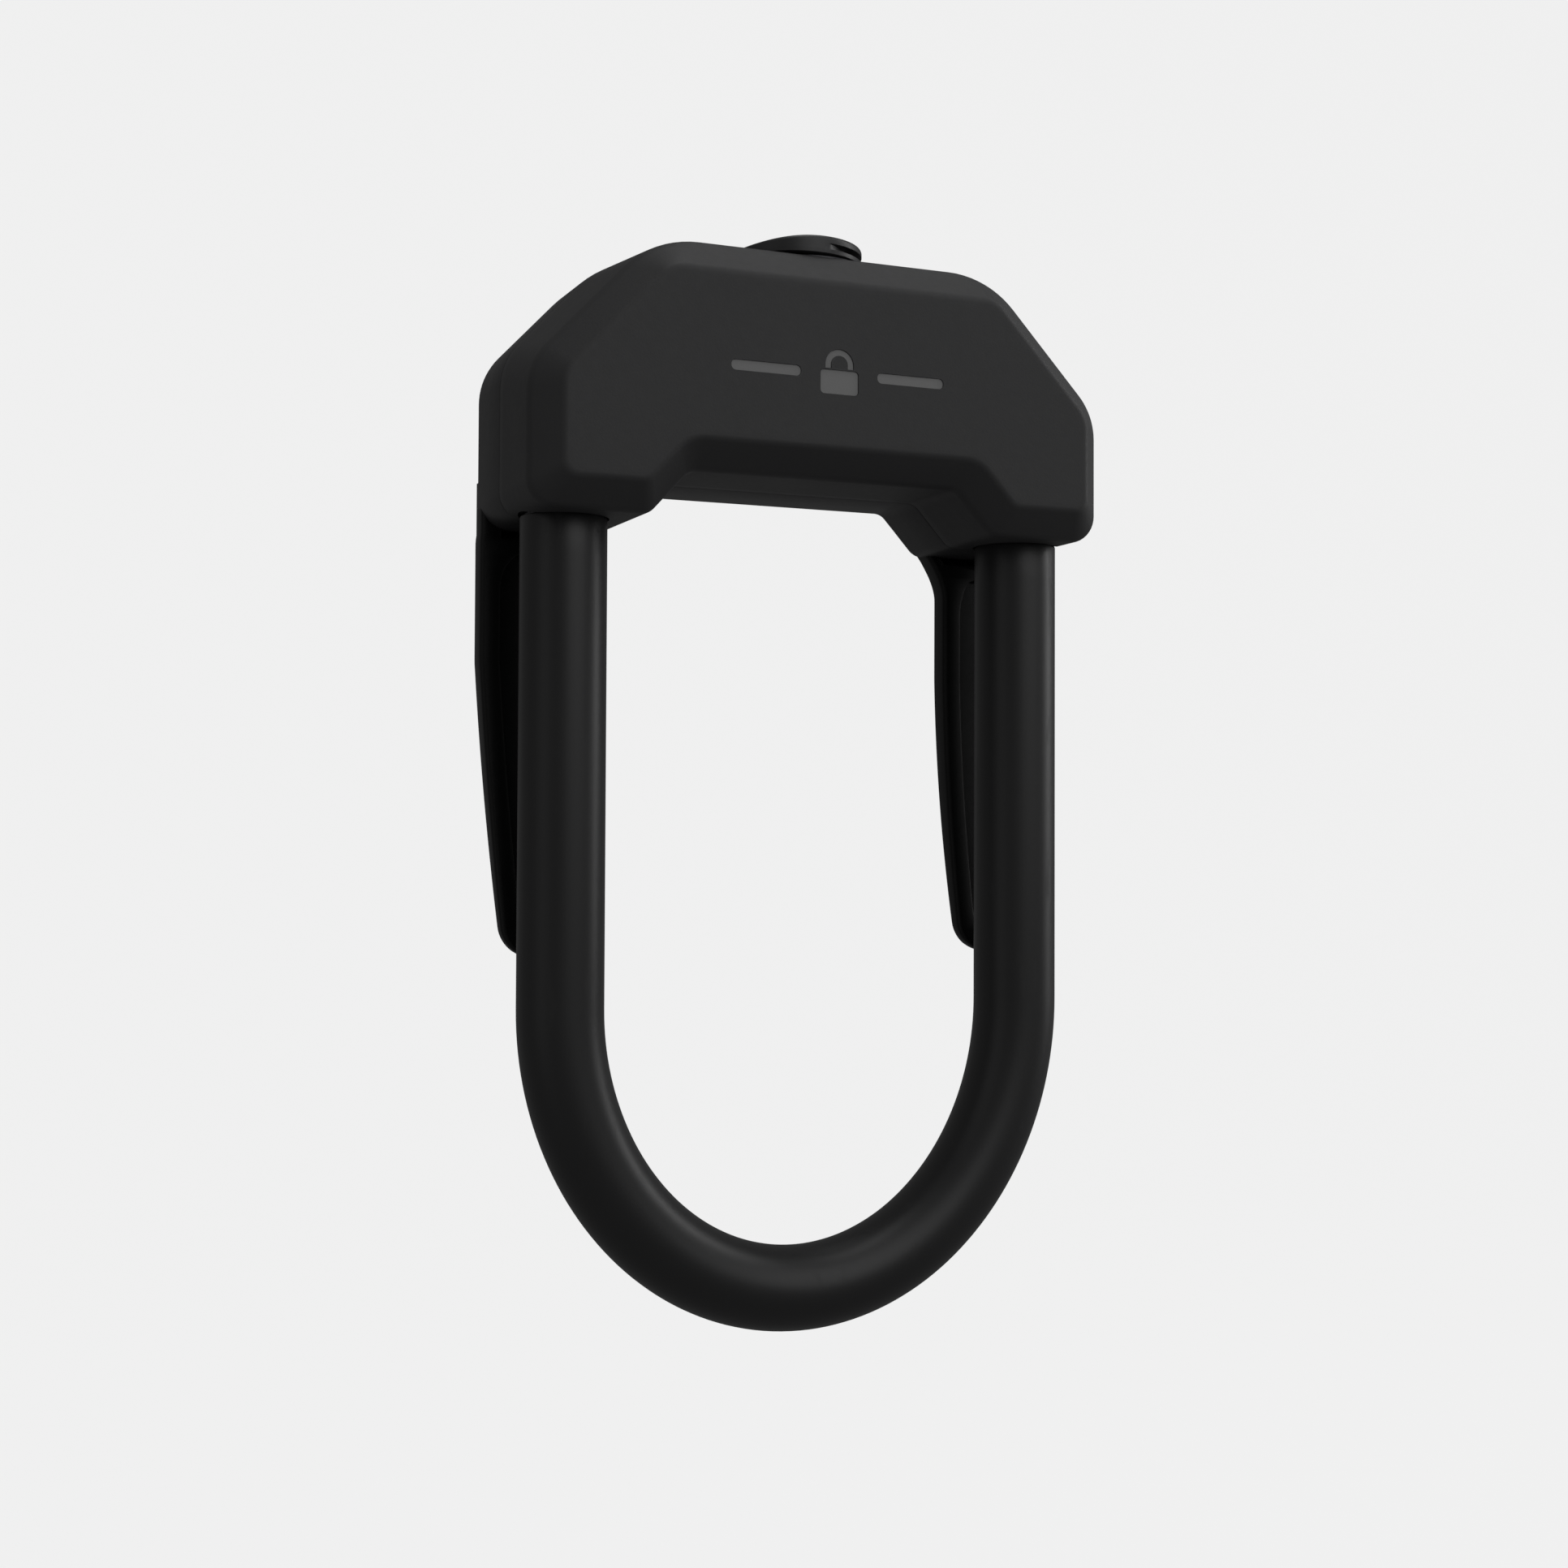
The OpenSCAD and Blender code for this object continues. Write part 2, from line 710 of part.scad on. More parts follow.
// Swivelling cover: a disc whose top falls away to the left, with a finger groove on the right
module dust_cover() {
    color("#232324")
        translate([cover_x, leg_y, cover_z])
            difference() {
                cylinder(r = cover_r, h = cover_h, $fn = 96);
                translate([-cover_r, 0, cover_low]) rotate([0, -cover_slope, 0])
                    translate([-over, -cover_r - over, 0]) cube([cover_d, cover_d + 2 * over, cover_d]);
                translate([rivet_x - cover_x, 0, -over])
                    cylinder(r = rivet_r + run_fit, h = cover_h + 2 * over);
                translate([rivet_x - cover_x, 0, cover_low - 0.8])
                    cylinder(r = rivet_head_r + 0.2, h = cover_h);
                difference() {
                    block([finger_x, -cover_d, finger_z], [cover_d, cover_d, finger_z + finger_h]);
                    translate([0, 0, -over]) cylinder(r = cover_r - finger_depth, h = cover_h + 2 * over);
                }
            }
}

// How far the clip has bent in at height z, from 0 above to 1 at its tip
function clip_curve(z) = pow(max(0, (-z - clip_straight) / (clip_l - clip_straight)), 2);

// The clip's side view: back edge down, tip, front edge up. A thickness of 0 < t limits it
// to a skin on the front.
function clip_side(t) =
    let (zs = [for (i = [0:clip_steps]) clip_axis_z - (clip_l + clip_axis_z) * i / clip_steps],
         thick = [for (z = zs) clip_t - (clip_t - tip_t) * clip_curve(z)],
         front = [for (z = zs) belt_gap / 2 - clip_bend * clip_curve(z)])
    concat([for (i = [0:clip_steps]) [front[i] + (t > 0 ? t : thick[i]), zs[i]]],
           [for (i = [clip_steps:-1:0]) [front[i] - (t > 0 ? over : 0), zs[i]]]);

// The clip's front view, moved in by a rim, right-hand side
function clip_front(in, top) =
    let (w = clip_w / 2 - in, tip = w - clip_taper, arch = in > 0 ? w - 0.2 : 0.01,
         tip_r = min(clip_tip_r, tip - 0.2))
    rounded([[clip_x - tip, -clip_l + in], [clip_x + tip, -clip_l + in], [clip_x + w, -clip_straight],
             [clip_x + w, top], [clip_x - w, top], [clip_x - w, -clip_straight]],
            [tip_r, tip_r, clip_ease_r, arch, arch, clip_ease_r]);

module clip_blade(in, top, t) {
    intersection() {
        translate([0, back_y + over, 0]) rotate([90, 0, 0])
            linear_extrude(height = back_y + over + clip_bend + belt_gap) polygon(clip_front(in, top));
        rotate([90, 0, 90]) linear_extrude(height = half_w + over) polygon(clip_side(t));
    }
}

module clip(side) {
    color("#1d1d1e")
        mirror([side > 0 ? 0 : 1, 0, 0])
            difference() {
                union() {
                    clip_blade(0, clip_axis_z + 0.01, 0);
                    along_x(clip_axis_y, clip_axis_z, clip_t / 2, clip_x - clip_w / 2, half_w);
                }
                clip_blade(clip_rim, clip_axis_z - 4, clip_pocket);
            }
}

module left_clip() { clip(-1); }
module right_clip() { clip(1); }

front_cover();
rear_cover();
lock_block();
anti_drill_plate();
plate_screws();
left_bush();
right_bush();
left_seal();
right_seal();
cylinder_shell();
cylinder_pin();
escutcheon();
cover_rivet();
cover_screws();
shackle_bar();
shackle_sleeve();
plug();
lock_discs();
disc_spacers();
sidebar();
drive_cam();
cam_screw();
left_bolt();
left_yoke();
right_bolt();
right_yoke();
dust_cover();
left_clip();
right_clip();
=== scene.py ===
"""Studio picture of a compact U lock: bevelled crossbar, coated shackle and belt clips."""
import logging
import math
from dataclasses import dataclass, field
from enum import Enum
from typing import Callable, Sequence

import bmesh
import bpy
from mathutils import Matrix, Vector


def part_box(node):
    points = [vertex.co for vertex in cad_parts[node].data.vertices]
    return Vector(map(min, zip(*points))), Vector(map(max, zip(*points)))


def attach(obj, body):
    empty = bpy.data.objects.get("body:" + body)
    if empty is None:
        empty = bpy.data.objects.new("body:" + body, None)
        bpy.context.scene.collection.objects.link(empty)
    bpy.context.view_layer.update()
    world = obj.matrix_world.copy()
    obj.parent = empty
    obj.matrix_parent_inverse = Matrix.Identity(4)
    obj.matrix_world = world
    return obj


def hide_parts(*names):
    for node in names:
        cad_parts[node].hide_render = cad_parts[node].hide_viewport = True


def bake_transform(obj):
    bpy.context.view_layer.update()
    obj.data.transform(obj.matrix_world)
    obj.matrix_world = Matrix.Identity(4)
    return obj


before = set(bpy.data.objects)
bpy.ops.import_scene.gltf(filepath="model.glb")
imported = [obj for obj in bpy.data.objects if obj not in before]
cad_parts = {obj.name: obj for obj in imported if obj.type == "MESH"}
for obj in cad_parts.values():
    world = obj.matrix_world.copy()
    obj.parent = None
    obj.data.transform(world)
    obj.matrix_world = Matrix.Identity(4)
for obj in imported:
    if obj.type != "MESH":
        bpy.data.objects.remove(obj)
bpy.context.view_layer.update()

LOG = logging.getLogger("u_lock")
MM = 0.001

Point = tuple[float, float]
Loop = list[Vector]
Skin = tuple[list[Vector], list[list[int]]]


def limit(value: float) -> float:
    """Keep a number between 0 and 1."""
    return max(0.0, min(1.0, value))


# ---------------------------------------------------------------- shader graphs


class Value:
    """A number socket that takes part in Python arithmetic."""

    def __init__(self, graph: "Graph", socket: bpy.types.NodeSocket) -> None:
        """Remember the graph that the socket belongs to."""
        self.graph = graph
        self.socket = socket

    def _math(self, operation: str, *terms: "Value | float") -> "Value":
        """Add one Math node.

        Args:
            operation: the Math node's operation.
            terms: its inputs, in order.

        Returns:
            The node's result.
        """
        return self.graph.add("ShaderNodeMath", {"operation": operation},
                              dict(enumerate(terms)))

    def __add__(self, other: "Value | float") -> "Value":
        """Sum."""
        return self._math("ADD", self, other)

    def __mul__(self, other: "Value | float") -> "Value":
        """Product."""
        return self._math("MULTIPLY", self, other)

    def __sub__(self, other: "Value | float") -> "Value":
        """Difference."""
        return self._math("SUBTRACT", self, other)

    def __rsub__(self, other: float) -> "Value":
        """Difference from a number."""
        return self._math("SUBTRACT", other, self)

    __radd__ = __add__
    __rmul__ = __mul__

    def clamp(self) -> "Value":
        """Limit the number to the range 0 to 1."""
        return self.graph.add("ShaderNodeClamp", {}, {"Value": self})

    def step(self, low: float, high: float) -> "Value":
        """Smooth step from 0 at low to 1 at high."""
        return self.graph.add("ShaderNodeMapRange", {"interpolation_type": "SMOOTHSTEP"},
                              {"Value": self, "From Min": low, "From Max": high})


class Graph:
    """A material's node tree with one Principled shader."""

    edge_samples = 4
    edge_turn = (0.01, 0.16)

    def __init__(self, name: str) -> None:
        """Make an empty material.

        Args:
            name: the material's name.
        """
        self.material = bpy.data.materials.new(name)
        self.material.use_nodes = True
        self.tree = self.material.node_tree
        self.shader = self.tree.nodes["Principled BSDF"]

    def add(self, kind: str, settings: dict[str, object], inputs: dict[object, object],
            output: int | str = 0) -> Value:
        """Add a node.

        Args:
            kind: the node's type.
            settings: its properties, set before the sockets.
            inputs: values or links by socket name or number.
            output: which output to return.

        Returns:
            The chosen output.
        """
        node = self.tree.nodes.new(kind)
        for key, value in settings.items():
            setattr(node, key, value)
        for key, value in inputs.items():
            self.feed(node.inputs[key], value)
        return Value(self, node.outputs[output])

    def feed(self, socket: bpy.types.NodeSocket, value: object) -> None:
        """Link a Value to a socket, or set the socket's own number or colour."""
        if isinstance(value, Value):
            self.tree.links.new(value.socket, socket)
        else:
            socket.default_value = value

    def noise(self, scale: float, detail: float = 3.0,
              stretch: Sequence[float] = (1, 1, 1)) -> Value:
        """Noise fixed to the object.

        Args:
            scale: features per metre.
            detail: octaves of noise.
            stretch: scale along each axis.

        Returns:
            The noise, from 0 to 1.
        """
        place = self.add("ShaderNodeTexCoord", {}, {}, "Object")
        mapped = self.add("ShaderNodeMapping", {}, {"Vector": place, "Scale": tuple(stretch)})
        return self.add("ShaderNodeTexNoise", {},
                        {"Vector": mapped, "Scale": scale, "Detail": detail})

    def edge_wear(self, radius: float) -> Value:
        """Find the edges of a piece.

        Args:
            radius: how far from an edge its wear reaches.

        Returns:
            0 on flats, rising to 1 on edges.
        """
        rounded = self.add("ShaderNodeBevel", {"samples": self.edge_samples},
                           {"Radius": radius})
        flat = self.add("ShaderNodeNewGeometry", {}, {}, "Normal")
        same = self.add("ShaderNodeVectorMath", {"operation": "DOT_PRODUCT"},
                        {0: rounded, 1: flat}, "Value")
        return (1 - same).step(*self.edge_turn)

    def tint(self, mask: Value, low: "Value | Sequence[float]", high: Sequence[float]) -> Value:
        """Mix two colours by a mask; the first may itself be a mix."""
        first = low if isinstance(low, Value) else (*low, 1.0)
        return self.add("ShaderNodeMix", {"data_type": "RGBA"},
                        {"Factor": mask, 6: first, 7: (*high, 1.0)}, 2)

    def bump(self, height: Value, strength: float, distance: float) -> Value:
        """Turn a height into a normal."""
        return self.add("ShaderNodeBump", {},
                        {"Strength": strength, "Distance": distance, "Height": height})

    def set(self, **inputs: object) -> None:
        """Set or link the shader's sockets; an underscore stands for a space."""
        for key, value in inputs.items():
            self.feed(self.shader.inputs[key.replace("_", " ")], value)


@dataclass(frozen=True)
class MouldedPlastic:
    """Black moulded nylon: a fine spark-eroded grain, faint flow marks, rubbed edges."""

    name: str
    colour: tuple[float, float, float]
    worn: tuple[float, float, float]
    roughness: float = 0.5
    grain: float = 0.25
    grain_size: float = 0.35 * MM
    gloss: float = 0.5

    def build(self) -> bpy.types.Material:
        """Make the material.

        Returns:
            The material.
        """
        g = Graph(self.name)
        fine = g.noise(1 / self.grain_size, 2)
        coarse = g.noise(1 / (4 * self.grain_size), 3)
        flow = g.noise(45, 4, (1, 1, 0.35))
        wear = (g.edge_wear(0.5 * MM) * g.noise(320, 4).step(0.42, 0.7)).clamp()
        shade = g.tint(flow, [c * 0.9 for c in self.colour], [c * 1.1 for c in self.colour])
        g.set(Base_Color=g.tint(wear * 0.5, shade, self.worn),
              Roughness=(flow * 0.12 + coarse * 0.08 + (self.roughness - 0.1) - wear * 0.08),
              Normal=g.bump(fine * 0.7 + coarse * 0.3, self.grain, 0.06 * MM),
              Specular_IOR_Level=self.gloss)
        return g.material


@dataclass(frozen=True)
class SoftCoat:
    """The shackle's satin coat: dipped, so smooth, with slow ripples and faint scuffs."""

    name: str
    colour: tuple[float, float, float]
    roughness: float = 0.42

    def build(self) -> bpy.types.Material:
        """Make the material.

        Returns:
            The material.
        """
        g = Graph(self.name)
        ripple = g.noise(60, 2, (1, 1, 0.3))
        skin = g.noise(1400, 3)
        scuff = g.noise(170, 6, (2.5, 2.5, 0.5)).step(0.6, 0.78)
        g.set(Base_Color=g.tint(scuff * 0.6, self.colour, [c * 1.35 for c in self.colour]),
              Roughness=ripple * 0.1 + skin * 0.05 + scuff * 0.1 + (self.roughness - 0.08),
              Normal=g.bump(skin * 0.25 + ripple, 0.1, 0.15 * MM))
        return g.material


class Cut(Enum):
    """Which way a tool ran over a metal piece."""

    TURNED = (1.0, 1.0, 14.0)
    GROUND = (1.0, 14.0, 14.0)
    FLAT = (10.0, 1.0, 1.0)


@dataclass(frozen=True)
class MachinedMetal:
    """Machined metal with fine tool marks, stains and bright edges."""

    name: str
    colour: tuple[float, float, float]
    roughness: float = 0.3
    cut: Cut = Cut.GROUND
    metallic: float = 1.0

    def build(self) -> bpy.types.Material:
        """Make the material.

        Returns:
            The material.
        """
        g = Graph(self.name)
        marks = g.noise(900, 2, self.cut.value)
        stain = g.noise(220, 5)
        wear = g.edge_wear(0.3 * MM)
        dark = g.tint(stain.step(0.35, 0.75), [c * 0.75 for c in self.colour], self.colour)
        bright = [min(1.0, c * 1.3) for c in self.colour]
        g.set(Base_Color=g.tint(wear * 0.6, dark, bright),
              Metallic=self.metallic,
              Roughness=marks * 0.16 + stain * 0.12 + (self.roughness - 0.1),
              Normal=g.bump(marks, 0.12, 0.04 * MM))
        return g.material


@dataclass(frozen=True)
class SoftRubber:
    """Dull black rubber with a dusty bloom."""

    name: str
    colour: tuple[float, float, float]

    def build(self) -> bpy.types.Material:
        """Make the material.

        Returns:
            The material.
        """
        g = Graph(self.name)
        bloom = g.noise(600, 5)
        g.set(Base_Color=g.tint(bloom.step(0.4, 0.8), self.colour, [c * 1.8 for c in self.colour]),
              Roughness=bloom * 0.2 + 0.65,
              Normal=g.bump(bloom, 0.2, 0.05 * MM))
        return g.material


@dataclass(frozen=True)
class StudioPaper:
    """The pale backdrop."""

    name: str
    shade: float

    def build(self) -> bpy.types.Material:
        """Make the material, with its own even glow under the studio light.

        Returns:
            The material.
        """
        g = Graph(self.name)
        fibre = g.noise(40, 4)
        tone = [self.shade] * 3
        g.set(Base_Color=g.tint(fibre, [0.02] * 3, [0.024] * 3), Roughness=0.9,
              Emission_Color=g.tint(fibre, tone, [t * 1.002 for t in tone]),
              Emission_Strength=1.0, Specular_IOR_Level=0.0)
        return g.material


# ---------------------------------------------------------------- outlines and meshes


def corner_arc(a: Vector, p: Vector, b: Vector, r: float, steps: int) -> Loop:
    """Round a corner.

    Args:
        a: a point on the edge before the corner.
        p: the corner.
        b: a point on the edge after it.
        r: the arc's radius.
        steps: the arc's segments.

    Returns:
        The arc's points, one more than its segments.
    """
    u, v = (a - p).normalized(), (b - p).normalized()
    half = math.acos(max(-1.0, min(1.0, u.dot(v)))) / 2
    centre = p + (u + v).normalized() * (r / math.sin(half))
    start = p + u * (r / math.tan(half)) - centre
    end = p + v * (r / math.tan(half)) - centre
    turn = math.atan2(start.x * end.y - start.y * end.x, start.dot(end))
    points = []
    for i in range(steps + 1):
        c, s = math.cos(turn * i / steps), math.sin(turn * i / steps)
        points.append(centre + Vector((start.x * c - start.y * s, start.x * s + start.y * c)))
    return points


def round_corners(corners: Loop, radii: Sequence[float], steps: int) -> Loop:
    """Round every corner of an outline.

    Args:
        corners: the outline's corners.
        radii: one radius for each corner.
        steps: segments of each arc.

    Returns:
        The arcs' points, one arc after another.
    """
    n = len(corners)
    loop: Loop = []
    for i, radius in enumerate(radii):
        loop += corner_arc(corners[i - 1], corners[i], corners[(i + 1) % n], radius, steps)
    return loop


def inset_points(points: Loop, distances: Sequence[float]) -> Loop:
    """Move each edge of an anticlockwise outline inwards.

    Args:
        points: the outline's corners.
        distances: one distance for each edge, the edge after each corner.

    Returns:
        The moved corners.
    """
    n = len(points)

    def inward(i: int) -> Vector:
        """Inward normal of edge i."""
        d = (points[(i + 1) % n] - points[i]).normalized()
        return Vector((-d.y, d.x))

    moved = []
    for i in range(n):
        a, b = inward(i - 1), inward(i)
        da, db = distances[i - 1], distances[i]
        det = a.x * b.y - a.y * b.x
        moved.append(points[i] + Vector((da * b.y - db * a.y, db * a.x - da * b.x)) / det)
    return moved


def new_piece(name: str, verts: Sequence[Vector], faces: Sequence[Sequence[int]],
              finish: bpy.types.Material, sharp: float = 32.0) -> bpy.types.Object:
    """Make a mesh object with smooth faces and sharp folds.

    Args:
        name: the piece's name.
        verts: its points, in metres.
        faces: its faces as point numbers.
        finish: its material.
        sharp: the fold, in degrees, from which an edge is sharp.

    Returns:
        The new object.
    """
    mesh = bpy.data.meshes.new(name)
    mesh.from_pydata([tuple(v) for v in verts], [], [list(f) for f in faces])
    mesh.materials.append(finish)
    piece = bpy.data.objects.new(name, mesh)
    bpy.context.scene.collection.objects.link(piece)
    tidy_normals(mesh)
    smooth(mesh, sharp)
    return piece


def tidy_normals(mesh: bpy.types.Mesh) -> None:
    """Turn every face outwards.

    Args:
        mesh: the mesh that is changed.
    """
    bm = bmesh.new()
    bm.from_mesh(mesh)
    bmesh.ops.recalc_face_normals(bm, faces=bm.faces)
    bm.to_mesh(mesh)
    bm.free()


def smooth(mesh: bpy.types.Mesh, sharp: float) -> None:
    """Shade a mesh smooth, with sharp edges from a given fold in degrees."""
    mesh.shade_smooth()
    mesh.set_sharp_from_angle(angle=math.radians(sharp))


def loft(loops: Sequence[Sequence[Vector]]) -> Skin:
    """Join closed loops of equal length into a skin, closed at both ends.

    Args:
        loops: the loops, in order.

    Returns:
        Points and faces.
    """
    n = len(loops[0])
    verts = [p for loop in loops for p in loop]
    faces = [[k * n + i, k * n + (i + 1) % n, (k + 1) * n + (i + 1) % n, (k + 1) * n + i]
             for k in range(len(loops) - 1) for i in range(n)]
    faces.append(list(range(n))[::-1])
    faces.append([(len(loops) - 1) * n + i for i in range(n)])
    return verts, faces


def carve(piece: bpy.types.Object, tools: Sequence[bpy.types.Object], sharp: float = 32.0) -> None:
    """Cut tools out of a piece and remove them.

    Args:
        piece: the mesh that is cut.
        tools: the cutters.
        sharp: the fold, in degrees, from which an edge is sharp.
    """
    for tool in tools:
        cut = piece.modifiers.new("cut", "BOOLEAN")
        cut.object = tool
        cut.solver = "EXACT"
        cut.operation = "DIFFERENCE"
    bake_modifiers(piece)
    smooth(piece.data, sharp)
    for tool in tools:
        bpy.data.objects.remove(tool, do_unlink=True)


def bake_modifiers(piece: bpy.types.Object) -> None:
    """Replace a piece's mesh by its modified one.

    Args:
        piece: the object that is changed.
    """
    graph = bpy.context.evaluated_depsgraph_get()
    mesh = bpy.data.meshes.new_from_object(piece.evaluated_get(graph), depsgraph=graph)
    piece.modifiers.clear()
    piece.data = mesh


def circle(centre: Vector, across: Vector, other: Vector, r: float, sides: int) -> list[Vector]:
    """Points of a circle round a centre, in the plane of two directions."""
    turns = (2 * math.pi * i / sides for i in range(sides))
    return [centre + across * (r * math.cos(a)) + other * (r * math.sin(a)) for a in turns]


def round_tool(radius: float, start: Vector, end: Vector, sides: int = 64) -> bpy.types.Object:
    """Make a cylinder that cuts a hole.

    Args:
        radius: the hole's radius.
        start: middle of one end.
        end: middle of the other end.
        sides: flats round the hole.

    Returns:
        The cutter.
    """
    along = (end - start).normalized()
    across = along.orthogonal().normalized()
    other = along.cross(across)
    loops = [circle(p, across, other, radius, sides) for p in (start, end)]
    return new_piece("tool", *loft(loops), blank_finish())


def blank_finish() -> bpy.types.Material:
    """The stand-in material of a cutter, made once."""
    return bpy.data.materials.get("blank") or bpy.data.materials.new("blank")


def prism(points: Sequence[Point], y0: float, y1: float) -> Skin:
    """The skin of a prism along Y from a list of (x, z) points."""
    return loft([[Vector((x, y, z)) for x, z in points] for y in (y0, y1)])


# ---------------------------------------------------------------- sizes read from the frame


@dataclass
class Layout:
    """The places and sizes that the CAD frame settles."""

    half_w: float = field(init=False)
    top: float = field(init=False)
    front_y: float = field(init=False)
    seam_y: float = field(init=False)
    back_y: float = field(init=False)
    leg_x: float = field(init=False)
    leg_y: float = field(init=False)
    coat_r: float = field(init=False)
    leg_end: float = field(init=False)
    lowest: float = field(init=False)
    clip_lo: Vector = field(init=False)
    clip_hi: Vector = field(init=False)

    def __post_init__(self) -> None:
        """Read every size from the loaded frame."""
        low, high = (Vector(c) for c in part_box("front_cover"))
        self.half_w, self.top, self.front_y, self.seam_y = high.x, high.z, low.y, high.y
        self.back_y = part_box("rear_cover")[1][1]
        low, high = (Vector(c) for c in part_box("right_bush"))
        self.leg_x, self.leg_y = (low.x + high.x) / 2, (low.y + high.y) / 2
        low, high = (Vector(c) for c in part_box("shackle_sleeve"))
        self.coat_r = high.x - self.leg_x
        self.lowest = low.z
        self.leg_end = high.z
        self.clip_lo, self.clip_hi = (Vector(c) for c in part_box("right_clip"))


# ---------------------------------------------------------------- crossbar


@dataclass
class FaceMark:
    """The front face's mark: a closed padlock between two bars."""

    z: float = 25.5 * MM
    body_half: float = 3.5 * MM
    body_low: float = 3.4 * MM
    body_high: float = 0.7 * MM
    body_round: float = 0.7 * MM
    bow_outer: float = 2.6 * MM
    bow_inner: float = 1.5 * MM
    bow_foot: float = 0.9 * MM
    bow_base: float = 1.6 * MM
    bar_from: float = 7.0 * MM
    bar_to: float = 19.5 * MM
    bar_half: float = 0.9 * MM
    bar_round: float = 0.85 * MM
    bow_steps: int = 16
    corner_steps: int = 6

    def bar(self, low: Point, high: Point, r: float, shrink: float) -> list[Point]:
        """Outline a rounded rectangle.

        Args:
            low: its lowest corner.
            high: its highest corner.
            r: its corners' radius.
            shrink: how far it is drawn in.

        Returns:
            (x, z) points.
        """
        r = min(r, (high[0] - low[0]) / 2.2 - shrink, (high[1] - low[1]) / 2.2 - shrink)
        x0, x1, z0, z1 = low[0] + shrink, high[0] - shrink, low[1] + shrink, high[1] - shrink
        box = [Vector((x0, z0)), Vector((x1, z0)), Vector((x1, z1)), Vector((x0, z1))]
        return [(p.x, p.y) for p in round_corners(box, [r] * 4, self.corner_steps)]

    def bow(self, shrink: float) -> list[Point]:
        """Outline the padlock's bow.

        Args:
            shrink: how far it is drawn in.

        Returns:
            (x, z) points.
        """
        outer, inner = self.bow_outer - shrink, self.bow_inner + shrink
        foot, base = self.z + self.bow_foot + 2 * shrink, self.z + self.bow_base
        turns = [math.pi * i / self.bow_steps for i in range(self.bow_steps + 1)]
        over = [(outer * math.cos(a), base + outer * math.sin(a)) for a in turns]
        under = [(-inner * math.cos(a), base + inner * math.sin(a)) for a in turns]
        return [(outer, foot), *over, (-outer, foot), (-inner, foot), *under, (inner, foot)]

    def shapes(self, shrink: float) -> list[list[Point]]:
        """Outline the padlock's body, its bow and the two bars.

        Args:
            shrink: how far each outline is drawn in from its recess.

        Returns:
            Lists of (x, z) points.
        """
        low, high = self.z - self.bar_half, self.z + self.bar_half
        body = self.bar((-self.body_half, self.z - self.body_low),
                        (self.body_half, self.z + self.body_high), self.body_round, shrink)
        left = self.bar((-self.bar_to, low), (-self.bar_from, high), self.bar_round, shrink)
        right = self.bar((self.bar_from, low), (self.bar_to, high), self.bar_round, shrink)
        return [body, self.bow(shrink), left, right]


